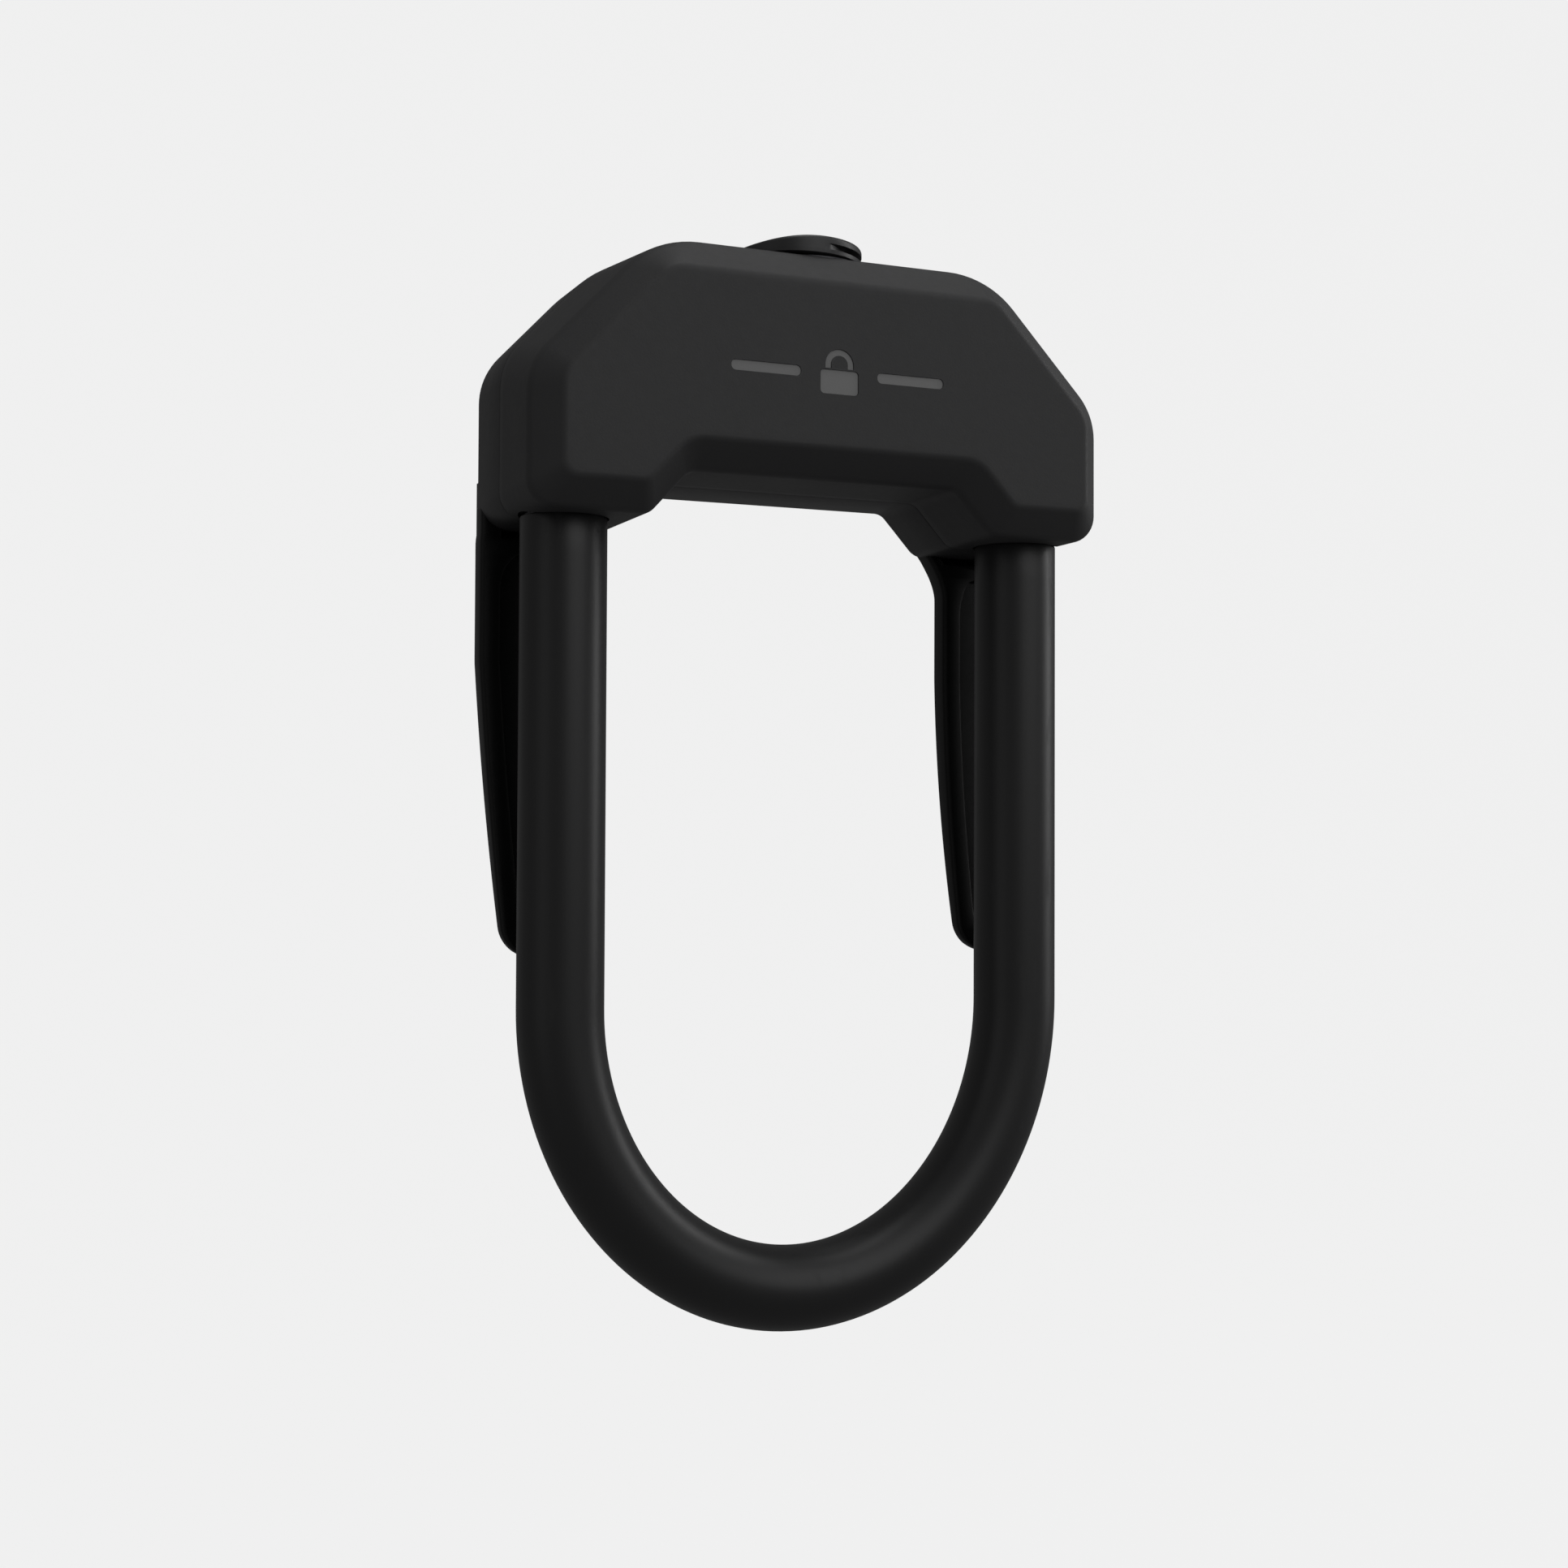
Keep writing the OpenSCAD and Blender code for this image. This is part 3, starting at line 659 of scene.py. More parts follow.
@dataclass
class Crossbar:
    """The crossbar's two plastic covers, their mark and the fixings that show."""

    layout: Layout
    boss_w: float = 20.9 * MM
    boss_z: float = 0.8 * MM
    arch_run: float = 7.0 * MM
    arch_h: float = 8.4 * MM
    wall: float = 1.9 * MM
    shoulder_z: float = 23.85 * MM
    shoulder_angle: float = 46.5
    bevel: float = 4.6 * MM
    bevel_depth: float = 5.1 * MM
    top_bevel: float = 5.7 * MM
    flare: float = 2.4 * MM
    ridge_round: float = 3.2 * MM
    face_round: float = 1.6 * MM
    back_round: float = 2.6 * MM
    flat_ring: float = 1.5 * MM
    seam_round: float = 0.28 * MM
    seam_gap: float = 0.02 * MM
    leg_gap: float = 0.3 * MM
    seat_gap: float = 0.1 * MM
    screw_gap: float = 0.3 * MM
    screw_depth: float = 1.9 * MM
    mark_depth: float = 0.35 * MM
    mark_gap: float = 0.03 * MM
    mark_sunk: float = 0.55
    mark_root: float = 0.3 * MM
    past: float = 2 * MM
    arc_steps: int = 10
    ease_steps: int = 6
    outer_radii: tuple[float, ...] = (3, 4.5, 12, 18, 3.2)
    face_radii: tuple[float, ...] = (2.6, 2.4, 5.5, 4.5, 6.5)

    @property
    def ridge_y(self) -> float:
        """Depth at which the front bevels start."""
        return self.layout.front_y + self.bevel_depth

    def outline(self) -> Loop:
        """List the crossbar's corners.

        Returns:
            The corners, anticlockwise from the right boss's inner one.
        """
        lay = self.layout
        boss = lay.half_w - self.boss_w
        arch = boss - self.arch_run
        lean = math.tan(math.radians(self.shoulder_angle))
        crown = lay.half_w - (lay.top - self.shoulder_z) / lean
        right = [(boss, self.boss_z), (lay.half_w, self.boss_z),
                 (lay.half_w, self.shoulder_z), (crown, lay.top)]
        left = [(-x, z) for x, z in reversed(right)]
        corners = right + left + [(-arch, self.arch_h), (arch, self.arch_h)]
        return [Vector(c) for c in corners]

    def radii(self, inset: float) -> list[float]:
        """Blend the corners' radii from the outer edge to the face.

        The radii are given in mm for one half: the boss's inner and outer corner,
        the shoulder, the crown and the arch.

        Args:
            inset: how far the outline is moved in.

        Returns:
            One radius for each corner of the outline.
        """
        t = limit(inset / self.bevel)
        half = [(a + (b - a) * t) * MM for a, b in zip(self.outer_radii, self.face_radii)]
        arch = half.pop()
        return [*half, *reversed(half), arch, arch]

    def section(self, y: float, inset: float, flare: float) -> list[Vector]:
        """The crossbar's outline at one depth.

        Args:
            y: the depth.
            inset: how far the outline is moved in.
            flare: how far the shoulders stand out.

        Returns:
            The loop's points.
        """
        corners = self.outline()
        top = inset * self.top_bevel / self.bevel
        side = inset - flare
        moved = inset_points(corners, [inset, inset, side, top, side] + [inset] * 5)
        loop = round_corners(moved, self.radii(inset), self.arc_steps)
        return [Vector((p.x, y, p.y)) for p in loop]

    def flare_at(self, y: float) -> float:
        """How far the shoulders stand out at depth y."""
        run = self.layout.seam_y - self.ridge_y
        return self.flare * limit((y - self.ridge_y) / run)

    def seam_lip(self, start: float, turn: int) -> list[Vector]:
        """Round a cover's edge at the parting line.

        Args:
            start: depth of the edge.
            turn: -1 for the front cover, 1 for the rear one.

        Returns:
            (depth, inset) pairs from the edge to the cover's side.
        """
        seam, y, ease = self.seam_round, self.layout.seam_y, 0.3
        return [Vector((start, seam)), Vector((y + turn * ease * seam, ease * seam)),
                Vector((y + turn * seam, 0))]

    def front_profile(self) -> list[Point]:
        """List the front cover's cross-sections.

        Returns:
            (depth, inset) pairs from the parting line to the face.
        """
        lay = self.layout
        a, b = Vector((lay.seam_y, 0)), Vector((self.ridge_y, 0))
        c, d = Vector((lay.front_y, self.bevel)), Vector((lay.front_y, 2 * self.bevel))
        points = self.seam_lip(lay.seam_y, -1)
        rows, first, run = 4, 0.15, 0.6
        points += [a.lerp(b, first + run * i / rows) for i in range(rows)]
        points += corner_arc(a, b, c, self.ridge_round, self.ease_steps)
        points += corner_arc(b, c, d, self.face_round, self.ease_steps)
        points.append(Vector((lay.front_y, self.bevel + self.flat_ring)))
        return [(p.x, p.y) for p in points]

    def back_profile(self) -> list[Point]:
        """List the rear cover's cross-sections.

        Returns:
            (depth, inset) pairs from the parting line to the back.
        """
        lay = self.layout
        a, b = Vector((lay.seam_y, 0)), Vector((lay.back_y, 0))
        c = Vector((lay.back_y, 2 * self.bevel))
        points = [*self.seam_lip(lay.seam_y + self.seam_gap, 1), a.lerp(b, 0.5)]
        points += corner_arc(a, b, c, self.back_round, self.ease_steps + 1)
        points.append(Vector((lay.back_y, self.back_round + self.flat_ring)))
        return [(p.x, p.y) for p in points]

    def cavity(self, y0: float, y1: float, inset: float, flare: float = 0.0) -> bpy.types.Object:
        """A cutter for the hollow between depths y0 and y1."""
        loops = [self.section(y, inset, flare) for y in (y0, y1)]
        return new_piece("tool", *loft(loops), blank_finish())

    def shared_cuts(self) -> list[bpy.types.Object]:
        """Make the cutters that both covers share.

        Returns:
            Cutters of the two leg holes, the escutcheon's seat and the plug's hole.
        """
        lay = self.layout
        hole = lay.coat_r + self.leg_gap
        cuts = [round_tool(hole, Vector((side * lay.leg_x, lay.leg_y, -self.past)),
                           Vector((side * lay.leg_x, lay.leg_y, 2 * self.past)))
                for side in (-1, 1)]
        above = Vector((0, lay.leg_y, lay.top + 1.5 * self.past))
        low, high = (Vector(c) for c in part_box("escutcheon"))
        seat = (high.x - low.x) / 2 + self.seat_gap
        cuts.append(round_tool(seat, Vector((0, lay.leg_y, low.z)), above, 96))
        low, high = (Vector(c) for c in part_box("plug"))
        cuts.append(round_tool((high.x - low.x) / 2,
                               Vector((0, lay.leg_y, high.z - 2 * self.seat_gap)), above))
        return cuts

    def build(self, skin: bpy.types.Material, rear_skin: bpy.types.Material,
              fill: bpy.types.Material) -> list[bpy.types.Object]:
        """Make both covers and the mark's painted floors.

        Args:
            skin: finish of the front cover.
            rear_skin: finish of the rear cover.
            fill: finish of the mark.

        Returns:
            The new pieces.
        """
        lay = self.layout
        front = new_piece("front_shell", *loft([self.section(y, d, self.flare_at(y))
                                                for y, d in self.front_profile()]), skin)
        mark = FaceMark()
        floor = lay.front_y + self.mark_depth
        marks = [new_piece("tool", *prism(shape, lay.front_y - self.past, floor), blank_finish())
                 for shape in mark.shapes(0.0)]
        inner = self.top_bevel + self.wall / 2
        hollows = [self.cavity(self.ridge_y + self.past / 4, lay.seam_y + self.past / 2, self.wall),
                   self.cavity(lay.front_y + self.wall, self.ridge_y + self.past, inner)]
        carve(front, self.shared_cuts() + marks + hollows)
        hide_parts("front_cover")
        rear = new_piece("rear_shell", *loft([self.section(y, d, self.flare)
                                              for y, d in self.back_profile()]), rear_skin)
        hollows = [self.cavity(lay.seam_y - self.past / 2, lay.back_y - self.wall, self.wall)]
        carve(rear, self.shared_cuts() + self.screw_cuts() + hollows)
        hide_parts("rear_cover")
        pieces = [front, rear]
        for i, shape in enumerate(mark.shapes(self.mark_gap)):
            y0, y1 = lay.front_y + self.mark_depth * self.mark_sunk, floor + self.mark_root
            pieces.append(new_piece(f"mark_fill_{i}", *prism(shape, y0, y1), fill))
        for piece in pieces:
            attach(piece, "crossbar")
            LOG.info("%s rides on the crossbar", piece.name)
        return pieces

    def screw_cuts(self) -> list[bpy.types.Object]:
        """Make the cutters of the four counterbores, where the CAD's screw heads are.

        Returns:
            The four cutters.
        """
        mesh = frame_node("cover_screws").data
        back = max(v.co.y for v in mesh.vertices)
        heads = [v.co for v in mesh.vertices if v.co.y > back - 0.05 * MM]
        middle = (min(p.z for p in heads) + max(p.z for p in heads)) / 2
        cuts = []
        for side in (-1, 1):
            for upper in (False, True):
                ring = [p for p in heads if p.x * side > 0 and (p.z > middle) == upper]
                x = (min(p.x for p in ring) + max(p.x for p in ring)) / 2
                z = (min(p.z for p in ring) + max(p.z for p in ring)) / 2
                r = (max(p.x for p in ring) - min(p.x for p in ring)) / 2
                seat = Vector((x, self.layout.back_y - self.screw_depth, z))
                mouth = Vector((x, self.layout.back_y + self.past, z))
                cuts.append(round_tool(r + self.screw_gap, seat, mouth, 48))
        return cuts


def frame_node(name: str) -> bpy.types.Object:
    """The Blender object of a CAD node."""
    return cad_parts[name]


# ---------------------------------------------------------------- shackle


@dataclass
class Shackle:
    """The shackle's soft coat: two straight legs and a half-ellipse bend."""

    layout: Layout
    leg_l: float = 80.7 * MM
    sides: int = 72
    bend_steps: int = 96
    leg_steps: int = 12
    lip: float = 0.3 * MM
    bar_gap: float = 0.02 * MM

    def path(self) -> list[tuple[Vector, Vector]]:
        """Follow the centre line from the left leg's end to the right one's.

        Returns:
            Points of the centre line, each with the outward direction there.
        """
        lay = self.layout
        depth = -self.leg_l - (lay.lowest + lay.coat_r)
        out: list[tuple[Vector, Vector]] = []
        for i in range(self.leg_steps):
            z = lay.leg_end + (-self.leg_l - lay.leg_end) * i / self.leg_steps
            out.append((Vector((-lay.leg_x, lay.leg_y, z)), Vector((-1, 0, 0))))
        for i in range(self.bend_steps + 1):
            a = math.pi - math.pi * i / self.bend_steps
            centre = Vector((lay.leg_x * math.cos(a), lay.leg_y,
                             -self.leg_l - depth * math.sin(a)))
            normal = Vector((math.cos(a) / lay.leg_x, 0, -math.sin(a) / depth)).normalized()
            out.append((centre, normal))
        for i in range(1, self.leg_steps + 1):
            z = -self.leg_l + (lay.leg_end + self.leg_l) * i / self.leg_steps
            out.append((Vector((lay.leg_x, lay.leg_y, z)), Vector((1, 0, 0))))
        return out

    def ring(self, centre: Vector, out: Vector, r: float) -> list[Vector]:
        """A ring of points of radius r round the centre line."""
        return circle(centre, out, Vector((0, 1, 0)), r, self.sides)

    def build(self, skin: bpy.types.Material) -> bpy.types.Object:
        """Make the coat as a tube with rounded lips at both ends.

        Args:
            skin: the coat's finish.

        Returns:
            The new piece.
        """
        lay = self.layout
        bar_low, bar_high = (Vector(c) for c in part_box("shackle_bar"))
        bar_r = (bar_high.x - bar_low.x) / 2 - lay.leg_x
        path = self.path()
        (first, first_out), (last, last_out) = path[0], path[-1]
        ease = 0.3 * self.lip
        drop = Vector((0, 0, self.lip))
        rounds = [(0.0, bar_r + self.bar_gap), (0.0, lay.coat_r - self.lip),
                  (ease, lay.coat_r - ease)]
        loops = [self.ring(first - Vector((0, 0, d)), first_out, r) for d, r in rounds]
        middle = [(first - drop, first_out), *path[1:-1], (last - drop, last_out)]
        loops += [self.ring(centre, out, lay.coat_r) for centre, out in middle]
        loops += [self.ring(last - Vector((0, 0, d)), last_out, r) for d, r in reversed(rounds)]
        piece = new_piece("shackle_coat", *loft(loops), skin)
        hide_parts("shackle_sleeve")
        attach(piece, "shackle")
        LOG.info("%s rides on the shackle", piece.name)
        return piece


# ---------------------------------------------------------------- belt clips


@dataclass
class BeltClip:
    """One belt clip with its gusset, made as one skin that curves in towards its tip."""

    layout: Layout
    side: int
    gusset_top: float = 9.0 * MM
    gusset_in: float = 11.8 * MM
    gusset_low: float = 7.0 * MM
    gusset_power: float = 1.7
    straight: float = 22.0 * MM
    taper_in: float = 1.0 * MM
    taper_out: float = 3.2 * MM
    root_t: float = 4.7 * MM
    tip_t: float = 3.0 * MM
    tip_r: float = 5.2 * MM
    rim: float = 3.4 * MM
    pocket: float = 1.9 * MM
    pocket_top: float = -3.0 * MM
    pocket_arch: float = 7.0 * MM
    pocket_lip: float = 0.35 * MM
    web: float = 2.2 * MM
    edge: float = 0.9 * MM
    tuck: float = 0.12 * MM
    steps: int = 110
    tip_steps: int = 14
    edge_steps: int = 4

    def down(self, z: float) -> float:
        """How far height z is below the clip's straight part, 1 at its tip."""
        run = -self.layout.clip_lo.z - self.straight
        return max(0.0, (-z - self.straight) / run)

    def curve(self, z: float) -> float:
        """How far the clip has bent in at height z, from 0 to 1."""
        return self.down(z) ** 2

    def edges(self, z: float) -> tuple[float, float]:
        """Find the clip's sides, as on the right-hand clip.

        Args:
            z: the height.

        Returns:
            X of the inner and the outer edge.
        """
        lay = self.layout
        inner = lay.clip_lo.x + self.taper_in * self.down(z)
        outer = lay.clip_hi.x - self.taper_out * self.down(z)
        rise = (z + self.gusset_low) / (self.gusset_top + self.gusset_low)
        if rise > 0:
            inner -= self.gusset_in * rise ** self.gusset_power
        drop = z - lay.clip_lo.z
        if drop < self.tip_r:
            cut = self.tip_r - math.sqrt(max(0.0, self.tip_r ** 2 - (self.tip_r - drop) ** 2))
            inner, outer = inner + cut, outer - cut
        return inner, outer

    def pocket_at(self, z: float, inner: float, outer: float) -> tuple[float, float, float]:
        """Find the front's hollow: a long pocket, a web and a short one in the gusset.

        Args:
            z: the height.
            inner: the clip's inner edge there.
            outer: its outer edge.

        Returns:
            The hollow's inner edge, outer edge and depth, which is 0 where there is none.
        """
        low_arch, fade_w, ease_z, thin_rim = 3.0 * MM, 1.2 * MM, 1.5 * MM, 2.4 * MM
        low = self.layout.clip_lo.z + self.rim + 1.0 * MM
        middle, half = (inner + outer) / 2, (outer - inner) / 2 - self.rim
        if low < z < self.pocket_top:
            up = (z - (self.pocket_top - self.pocket_arch)) / self.pocket_arch
            lean = max(up, (low + low_arch - z) / low_arch, 0.0)
            width = half * math.sqrt(max(0.0, 1 - min(1.0, lean) ** 2))
            return middle - width, middle + width, self.pocket * min(1.0, width / fade_w)
        web_top, top = self.pocket_top + self.web, self.gusset_top - 0.5 * MM
        if web_top < z < top:
            ease = min(1.0, (z - web_top) / ease_z, (top - z) / ease_z)
            return inner + thin_rim, outer - self.rim, self.pocket * 1.3 * ease
        return middle, middle, 0.0

    def loop(self, z: float) -> list[Vector]:
        """Draw the clip's cross-section.

        Args:
            z: the height.

        Returns:
            The loop's points.
        """
        lay = self.layout
        inner, outer = self.edges(z)
        root_y = lay.clip_hi.y - self.root_t
        front = root_y - (root_y - lay.clip_lo.y) * self.curve(z)
        hidden = self.tuck * limit(1 + z / MM)
        back = front + self.thick(z) - hidden
        outer -= hidden
        drop = z - lay.clip_lo.z
        slim = min(1.0, 0.35 + 0.65 * math.sqrt(limit(drop / (1.6 * MM))))
        mid = (front + back) / 2
        front, back = mid + (front - mid) * slim, mid + (back - mid) * slim
        e = min(self.edge, (back - front) * 0.42, (outer - inner) * 0.2)
        p0, p1, depth = self.pocket_at(z, inner, outer)
        p0, p1 = max(p0, inner + 1.2 * e), min(p1, outer - 1.2 * e)
        if p1 < p0:
            p0 = p1 = (p0 + p1) / 2
        wall = min(self.pocket_lip, (p1 - p0) / 4)
        box = [Vector((inner, back)), Vector((outer, back)),
               Vector((outer, front)), Vector((inner, front))]
        ring = round_corners(box, [e] * 4, self.edge_steps)
        last = 3 * (self.edge_steps + 1)
        lip = self.pocket_lip if depth > 0 else 0.0
        pocket = [(p1 + lip, front), (p1, front + 0.3 * lip), (p1 - wall, front + depth),
                  (p0 + wall, front + depth), (p0, front + 0.3 * lip), (p0 - lip, front)]
        points = [*ring[:last], *(Vector(p) for p in pocket), *ring[last:]]
        return [Vector((self.side * p.x, p.y, z)) for p in points]

    def thick(self, z: float) -> float:
        """The clip's thickness at height z."""
        return self.root_t + (self.tip_t - self.root_t) * self.curve(z)

    def heights(self) -> list[float]:
        """Choose where cross-sections are drawn, closer together round the tip.

        Returns:
            Heights from the tip to the gusset's top.
        """
        bottom = self.layout.clip_lo.z
        rise = self.gusset_top - bottom
        even = [bottom + rise * (i / self.steps) for i in range(self.steps + 1)]
        turns = [math.pi / 2 * i / self.tip_steps for i in range(self.tip_steps + 1)]
        tight = [bottom + self.tip_r * (1 - math.cos(a)) for a in turns]
        return sorted(set(tight + [h for h in even if h > bottom + self.tip_r * 1.02]))

    def build(self, skin: bpy.types.Material) -> bpy.types.Object:
        """Make the clip as one curved skin and hide the CAD clip.

        Args:
            skin: the clip's finish.

        Returns:
            The new piece.
        """
        name = "left" if self.side < 0 else "right"
        loops = [self.loop(z) for z in self.heights()]
        piece = new_piece(f"{name}_belt_clip", *loft(loops), skin, 40)
        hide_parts(f"{name}_clip")
        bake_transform(piece)
        LOG.info("%s bends between the crossbar and its own body", piece.name)
        return piece


# ---------------------------------------------------------------- dust cover


@dataclass
class KeyholeCover:
    """The swivelling dust cover: a wedge-topped disc with a finger lip on its right."""

    layout: Layout
    low: float = 1.3 * MM
    slope: float = 14.0
    edge: float = 0.7 * MM
    under_z: float = 0.8 * MM
    under_h: float = 1.3 * MM
    under_d: float = 1.7 * MM
    rivet_gap: float = 0.2 * MM
    rivet_hole: float = 1.46 * MM
    sides: int = 120
    edge_steps: int = 6
    r: float = field(init=False)
    height: float = field(init=False)
    middle: float = field(init=False)
    base: float = field(init=False)

    def __post_init__(self) -> None:
        """Read the cover's own size from the frame."""
        lo, hi = (Vector(c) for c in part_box("dust_cover"))
        self.r, self.height = (hi.x - lo.x) / 2, hi.z - lo.z
        self.middle, self.base = (hi.x + lo.x) / 2, lo.z

    def top(self, x: float) -> float:
        """Find the top's height over the underside, which levels off smoothly.

        Args:
            x: place across the cover, from its middle.

        Returns:
            The height.
        """
        line = self.low + (x + self.r) * math.tan(math.radians(self.slope))
        k = 0.6 * MM
        return -k * math.log(math.exp(-line / k) + math.exp(-self.height / k))

    def dish(self, a: float) -> float:
        """How deep the finger lip is cut at angle a, on the right only."""
        return self.under_d * limit((math.cos(a) - 0.15) / 0.35)

    def side_height(self, a: float, k: float) -> float:
        """Find a height on the rim's side, kept under the sloping top.

        Args:
            a: angle round the cover.
            k: how far up the side, from 0 to 1.

        Returns:
            The height over the underside.
        """
        high = self.top(self.r * math.cos(a)) - self.edge
        least, start = self.under_z + 0.15 * MM, self.under_z + 0.1 * MM
        return start + (max(high, least) - start) * k

    def rings(self) -> list[list[Vector]]:
        """Draw rings from the underside out, up the rim and over the top.

        Returns:
            The rings' points.
        """
        r, e, under = self.r, self.edge, self.under_z
        mid = under + self.under_h
        shapes: list[tuple[Callable[[float], float], Callable[[float], float]]] = [
            (lambda a: r * 0.5, lambda a: 0.0),
            (lambda a: r - 0.3 * MM, lambda a: 0.0),
            (lambda a: r - 0.05 * MM, lambda a: 0.15 * MM),
            (lambda a: r, lambda a: under),
            (lambda a: r - self.dish(a), lambda a: under + 0.05 * MM),
            (lambda a: r - self.dish(a), lambda a: min(mid, self.side_height(a, 0.5))),
            (lambda a: r, lambda a: min(mid + 0.1 * MM, self.side_height(a, 0.6))),
        ]
        for i in range(self.edge_steps + 1):
            f = math.pi / 2 * i / self.edge_steps
            shapes.append((lambda a, f=f: r - e * (1 - math.cos(f)),
                           lambda a, f=f: self.top((r - e) * math.cos(a)) - e * (1 - math.sin(f))))
        for k in (0.92, 0.85, 0.75, 0.6, 0.45, 0.3, 0.15, 0.04):
            shapes.append((lambda a, k=k: (r - e) * k,
                           lambda a, k=k: self.top((r - e) * k * math.cos(a))))
        angles = [2 * math.pi * i / self.sides for i in range(self.sides)]
        y = self.layout.leg_y
        return [[Vector((self.middle + radius(a) * math.cos(a), y + radius(a) * math.sin(a),
                         self.base + height(a))) for a in angles] for radius, height in shapes]

    def build(self, skin: bpy.types.Material) -> bpy.types.Object:
        """Make the cover and cut the hole for its rivet.

        Args:
            skin: the cover's finish.

        Returns:
            The new piece.
        """
        sharp, sides = 38, 48
        piece = new_piece("dust_cover_shell", *loft(self.rings()), skin, sharp)
        low, high = (Vector(c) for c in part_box("cover_rivet"))
        x, y = (low.x + high.x) / 2, (low.y + high.y) / 2
        head = round_tool((high.x - low.x) / 2 + self.rivet_gap,
                          Vector((x, y, high.z - 1.0 * MM)), Vector((x, y, high.z + 9 * MM)), sides)
        shank = round_tool(self.rivet_hole, Vector((x, y, self.base - 1 * MM)),
                           Vector((x, y, high.z)), sides)
        carve(piece, [head, shank], sharp)
        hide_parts("dust_cover")
        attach(piece, "keyhole_cover")
        LOG.info("%s rides on the dust cover's body", piece.name)
        return piece


# ---------------------------------------------------------------- lock work


@dataclass
class LockWork:
    """The CAD pieces that keep their shape and get a finish of their own."""

    def finishes(self) -> dict[str, tuple[str, ...]]:
        """Sort the nodes by the finish they take.

        Returns:
            The nodes' names for each finish.
        """
        return {
            "bar": ("shackle_bar",),
            "block": ("lock_block", "anti_drill_plate", "left_yoke", "right_yoke", "drive_cam"),
            "bright": ("left_bolt", "right_bolt", "cylinder_pin", "sidebar", "cam_screw",
                       "plate_screws", "cover_rivet", "disc_spacers"),
            "screw": ("cover_screws", "escutcheon"),
            "brass": ("cylinder_shell", "plug", "lock_discs", "left_bush", "right_bush"),
            "rubber": ("left_seal", "right_seal"),
        }

    def build(self) -> None:
        """Give each node its finish."""
        metals = {
            "bar": MachinedMetal("hardened_bar", (0.2, 0.2, 0.21), 0.38, Cut.TURNED),
            "block": MachinedMetal("block_steel", (0.42, 0.43, 0.45), 0.34, Cut.FLAT),
            "bright": MachinedMetal("bright_steel", (0.6, 0.61, 0.63), 0.24, Cut.GROUND),
            "screw": MachinedMetal("black_steel", (0.07, 0.07, 0.075), 0.36, Cut.TURNED),
            "brass": MachinedMetal("machined_brass", (0.72, 0.55, 0.28), 0.28, Cut.TURNED),
        }
        made = {key: finish.build() for key, finish in metals.items()}
        made["rubber"] = SoftRubber("seal_rubber", (0.012, 0.012, 0.012)).build()
        for key, nodes in self.finishes().items():
            for node in nodes:
                mesh = frame_node(node).data
                mesh.materials.clear()
                mesh.materials.append(made[key])
                LOG.info("%s takes the %s finish", node, key)


# ---------------------------------------------------------------- studio


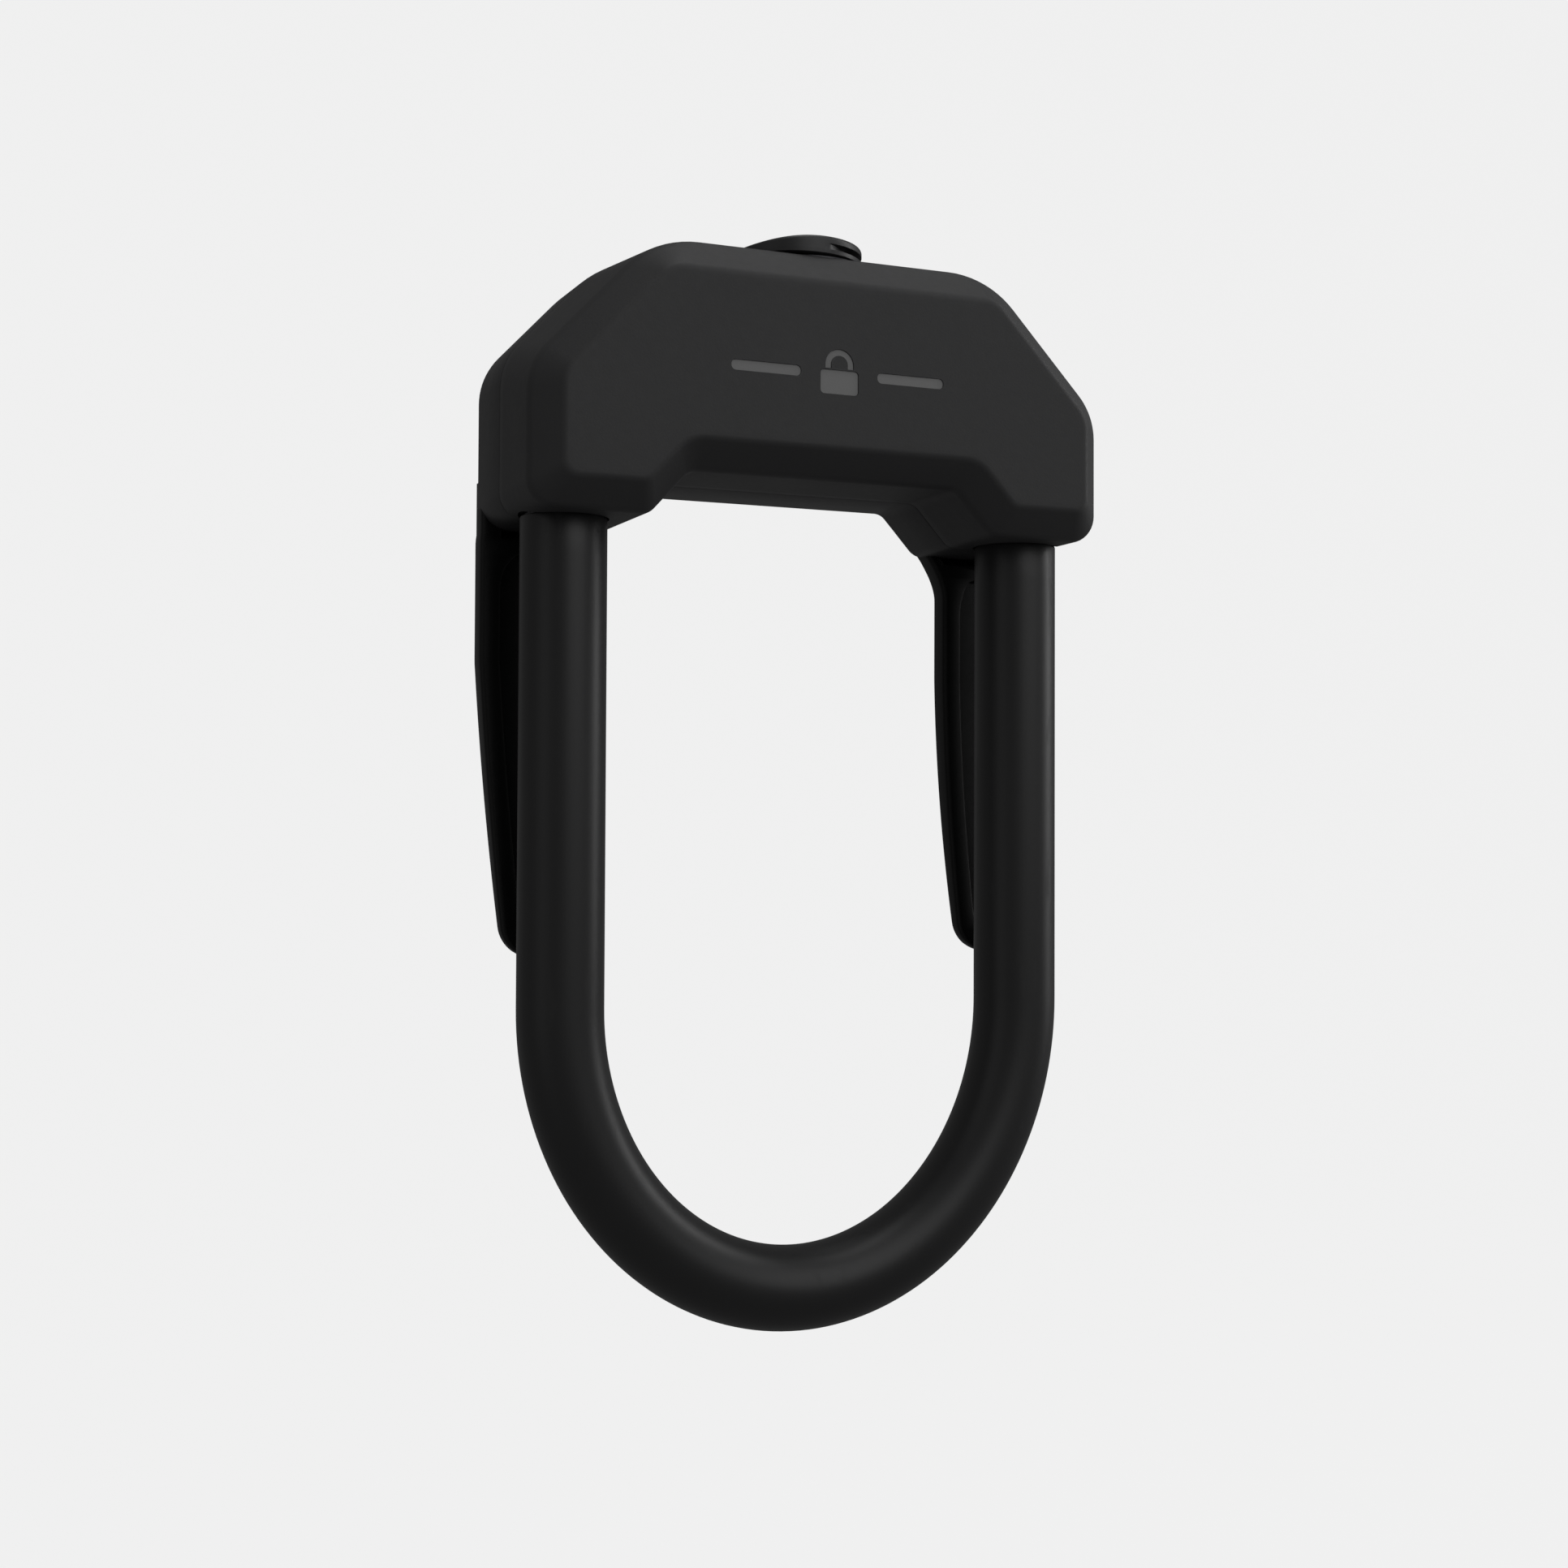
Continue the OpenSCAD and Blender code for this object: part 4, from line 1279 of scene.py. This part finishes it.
@dataclass
class Studio:
    """Backdrop, lights and camera."""

    layout: Layout
    shade: float = 0.863
    floor_z: float = -0.30
    sweep_r: float = 0.6
    wall_y: float = 1.6
    wall_z: float = 2.6
    near_y: float = -2.5
    half_x: float = 3.0
    world: float = 0.155
    lens: float = 50.0
    eye: tuple[float, float, float] = (-0.15006, -0.35895, -0.05359)
    yaw: float = 23.0
    pitch: float = -1.638
    roll: float = 0.251

    def backdrop(self) -> None:
        """Make a pale floor that sweeps up into a wall."""
        points = [(self.near_y, self.floor_z), (self.wall_y - self.sweep_r, self.floor_z)]
        steps = 24
        for i in range(1, steps + 1):
            a = math.pi / 2 * i / steps
            points.append((self.wall_y - self.sweep_r + self.sweep_r * math.sin(a),
                           self.floor_z + self.sweep_r * (1 - math.cos(a))))
        points.append((self.wall_y, self.wall_z))
        verts = [Vector((x, y, z)) for y, z in points for x in (-self.half_x, self.half_x)]
        faces = [[2 * i, 2 * i + 1, 2 * i + 3, 2 * i + 2] for i in range(len(points) - 1)]
        paper = StudioPaper("backdrop_paper", self.shade).build()
        sheet = new_piece("backdrop", verts, faces, paper)
        sheet.visible_diffuse = False
        sheet.visible_glossy = False

    def light(self, name: str, place: Sequence[float], size: Sequence[float], power: float) -> None:
        """Add an area light that faces the lock.

        Args:
            name: the light's name.
            place: where it stands.
            size: its width and height.
            power: its power in watts.
        """
        data = bpy.data.lights.new(name, "AREA")
        data.shape = "RECTANGLE"
        data.size, data.size_y = size
        data.energy = power
        lamp = bpy.data.objects.new(name, data)
        lamp.location = place
        aim = Vector((0, self.layout.leg_y, -0.03)) - Vector(place)
        lamp.rotation_euler = aim.to_track_quat("-Z", "Y").to_euler()
        bpy.context.scene.collection.objects.link(lamp)

    def lights(self) -> None:
        """Add a large key high in front, a rim on the right, a top strip and a dim fill."""
        self.light("key", (0.3, -1.0, 0.5), (1.0, 1.0), 3.1)
        self.light("rim", (1.0, -0.15, 0.35), (0.3, 1.0), 2.9)
        self.light("top", (0.1, -0.1, 0.9), (0.8, 0.5), 2.0)
        self.light("fill", (-0.9, -0.4, 0.1), (0.5, 0.9), 0.3)
        world = bpy.data.worlds.new("studio")
        world.use_nodes = True
        sky = world.node_tree.nodes["Background"]
        sky.inputs["Color"].default_value = (0.9, 0.9, 0.9, 1)
        sky.inputs["Strength"].default_value = self.world
        bpy.context.scene.world = world

    def camera(self) -> None:
        """Set up a 50 mm view from the front left, below the crossbar."""
        data = bpy.data.cameras.new("camera")
        data.lens = self.lens
        data.sensor_width = 36.0
        data.clip_start = 0.01
        turn = (Matrix.Rotation(math.radians(self.roll), 3, "Y")
                @ Matrix.Rotation(math.radians(self.pitch), 3, "X")
                @ Matrix.Rotation(math.radians(self.yaw), 3, "Z"))
        axes = Matrix((turn[0], turn[2], -turn[1])).transposed()
        eye = bpy.data.objects.new("camera", data)
        eye.matrix_world = Matrix.Translation(self.eye) @ axes.to_4x4()
        bpy.context.scene.collection.objects.link(eye)
        bpy.context.scene.camera = eye

    def build(self) -> None:
        """Set up the studio."""
        bpy.context.scene.view_settings.view_transform = "Standard"
        self.camera()
        self.backdrop()
        self.lights()


def main() -> None:
    """Build the lock and its studio."""
    logging.basicConfig(level=logging.INFO, format="%(name)s: %(message)s")
    layout = Layout()
    Studio(layout).build()
    nylon = MouldedPlastic("cover_nylon", (0.034, 0.034, 0.035), (0.06, 0.06, 0.062), 0.58, 0.3,
                           gloss=0.4)
    rear_nylon = MouldedPlastic("rear_nylon", (0.026, 0.026, 0.027), (0.07, 0.07, 0.072),
                                grain=0.3)
    # Clip nylon: black like the rear cover, but its colour is taken down near zero as painted
    # shade. The clips pass for the shadow they hang in under the crossbar and behind the legs.
    clip_nylon_painted_shade = MouldedPlastic("clip_nylon_painted_shade", (0.002, 0.002, 0.002), (0.01, 0.01, 0.01), 0.42, 0.12,
                                gloss=0.25)
    cap_nylon = MouldedPlastic("cap_nylon", (0.02, 0.02, 0.021), (0.06, 0.06, 0.06), 0.42, 0.18)
    fill = MouldedPlastic("mark_fill", (0.21, 0.21, 0.21), (0.25, 0.25, 0.25), 0.6, 0.2)
    Crossbar(layout).build(nylon.build(), rear_nylon.build(), fill.build())
    Shackle(layout).build(SoftCoat("shackle_coat", (0.012, 0.012, 0.0125)).build())
    clip_skin = clip_nylon_painted_shade.build()
    for side in (-1, 1):
        BeltClip(layout, side).build(clip_skin)
    KeyholeCover(layout).build(cap_nylon.build())
    LockWork().build()


if __name__ == "__main__":
    main()
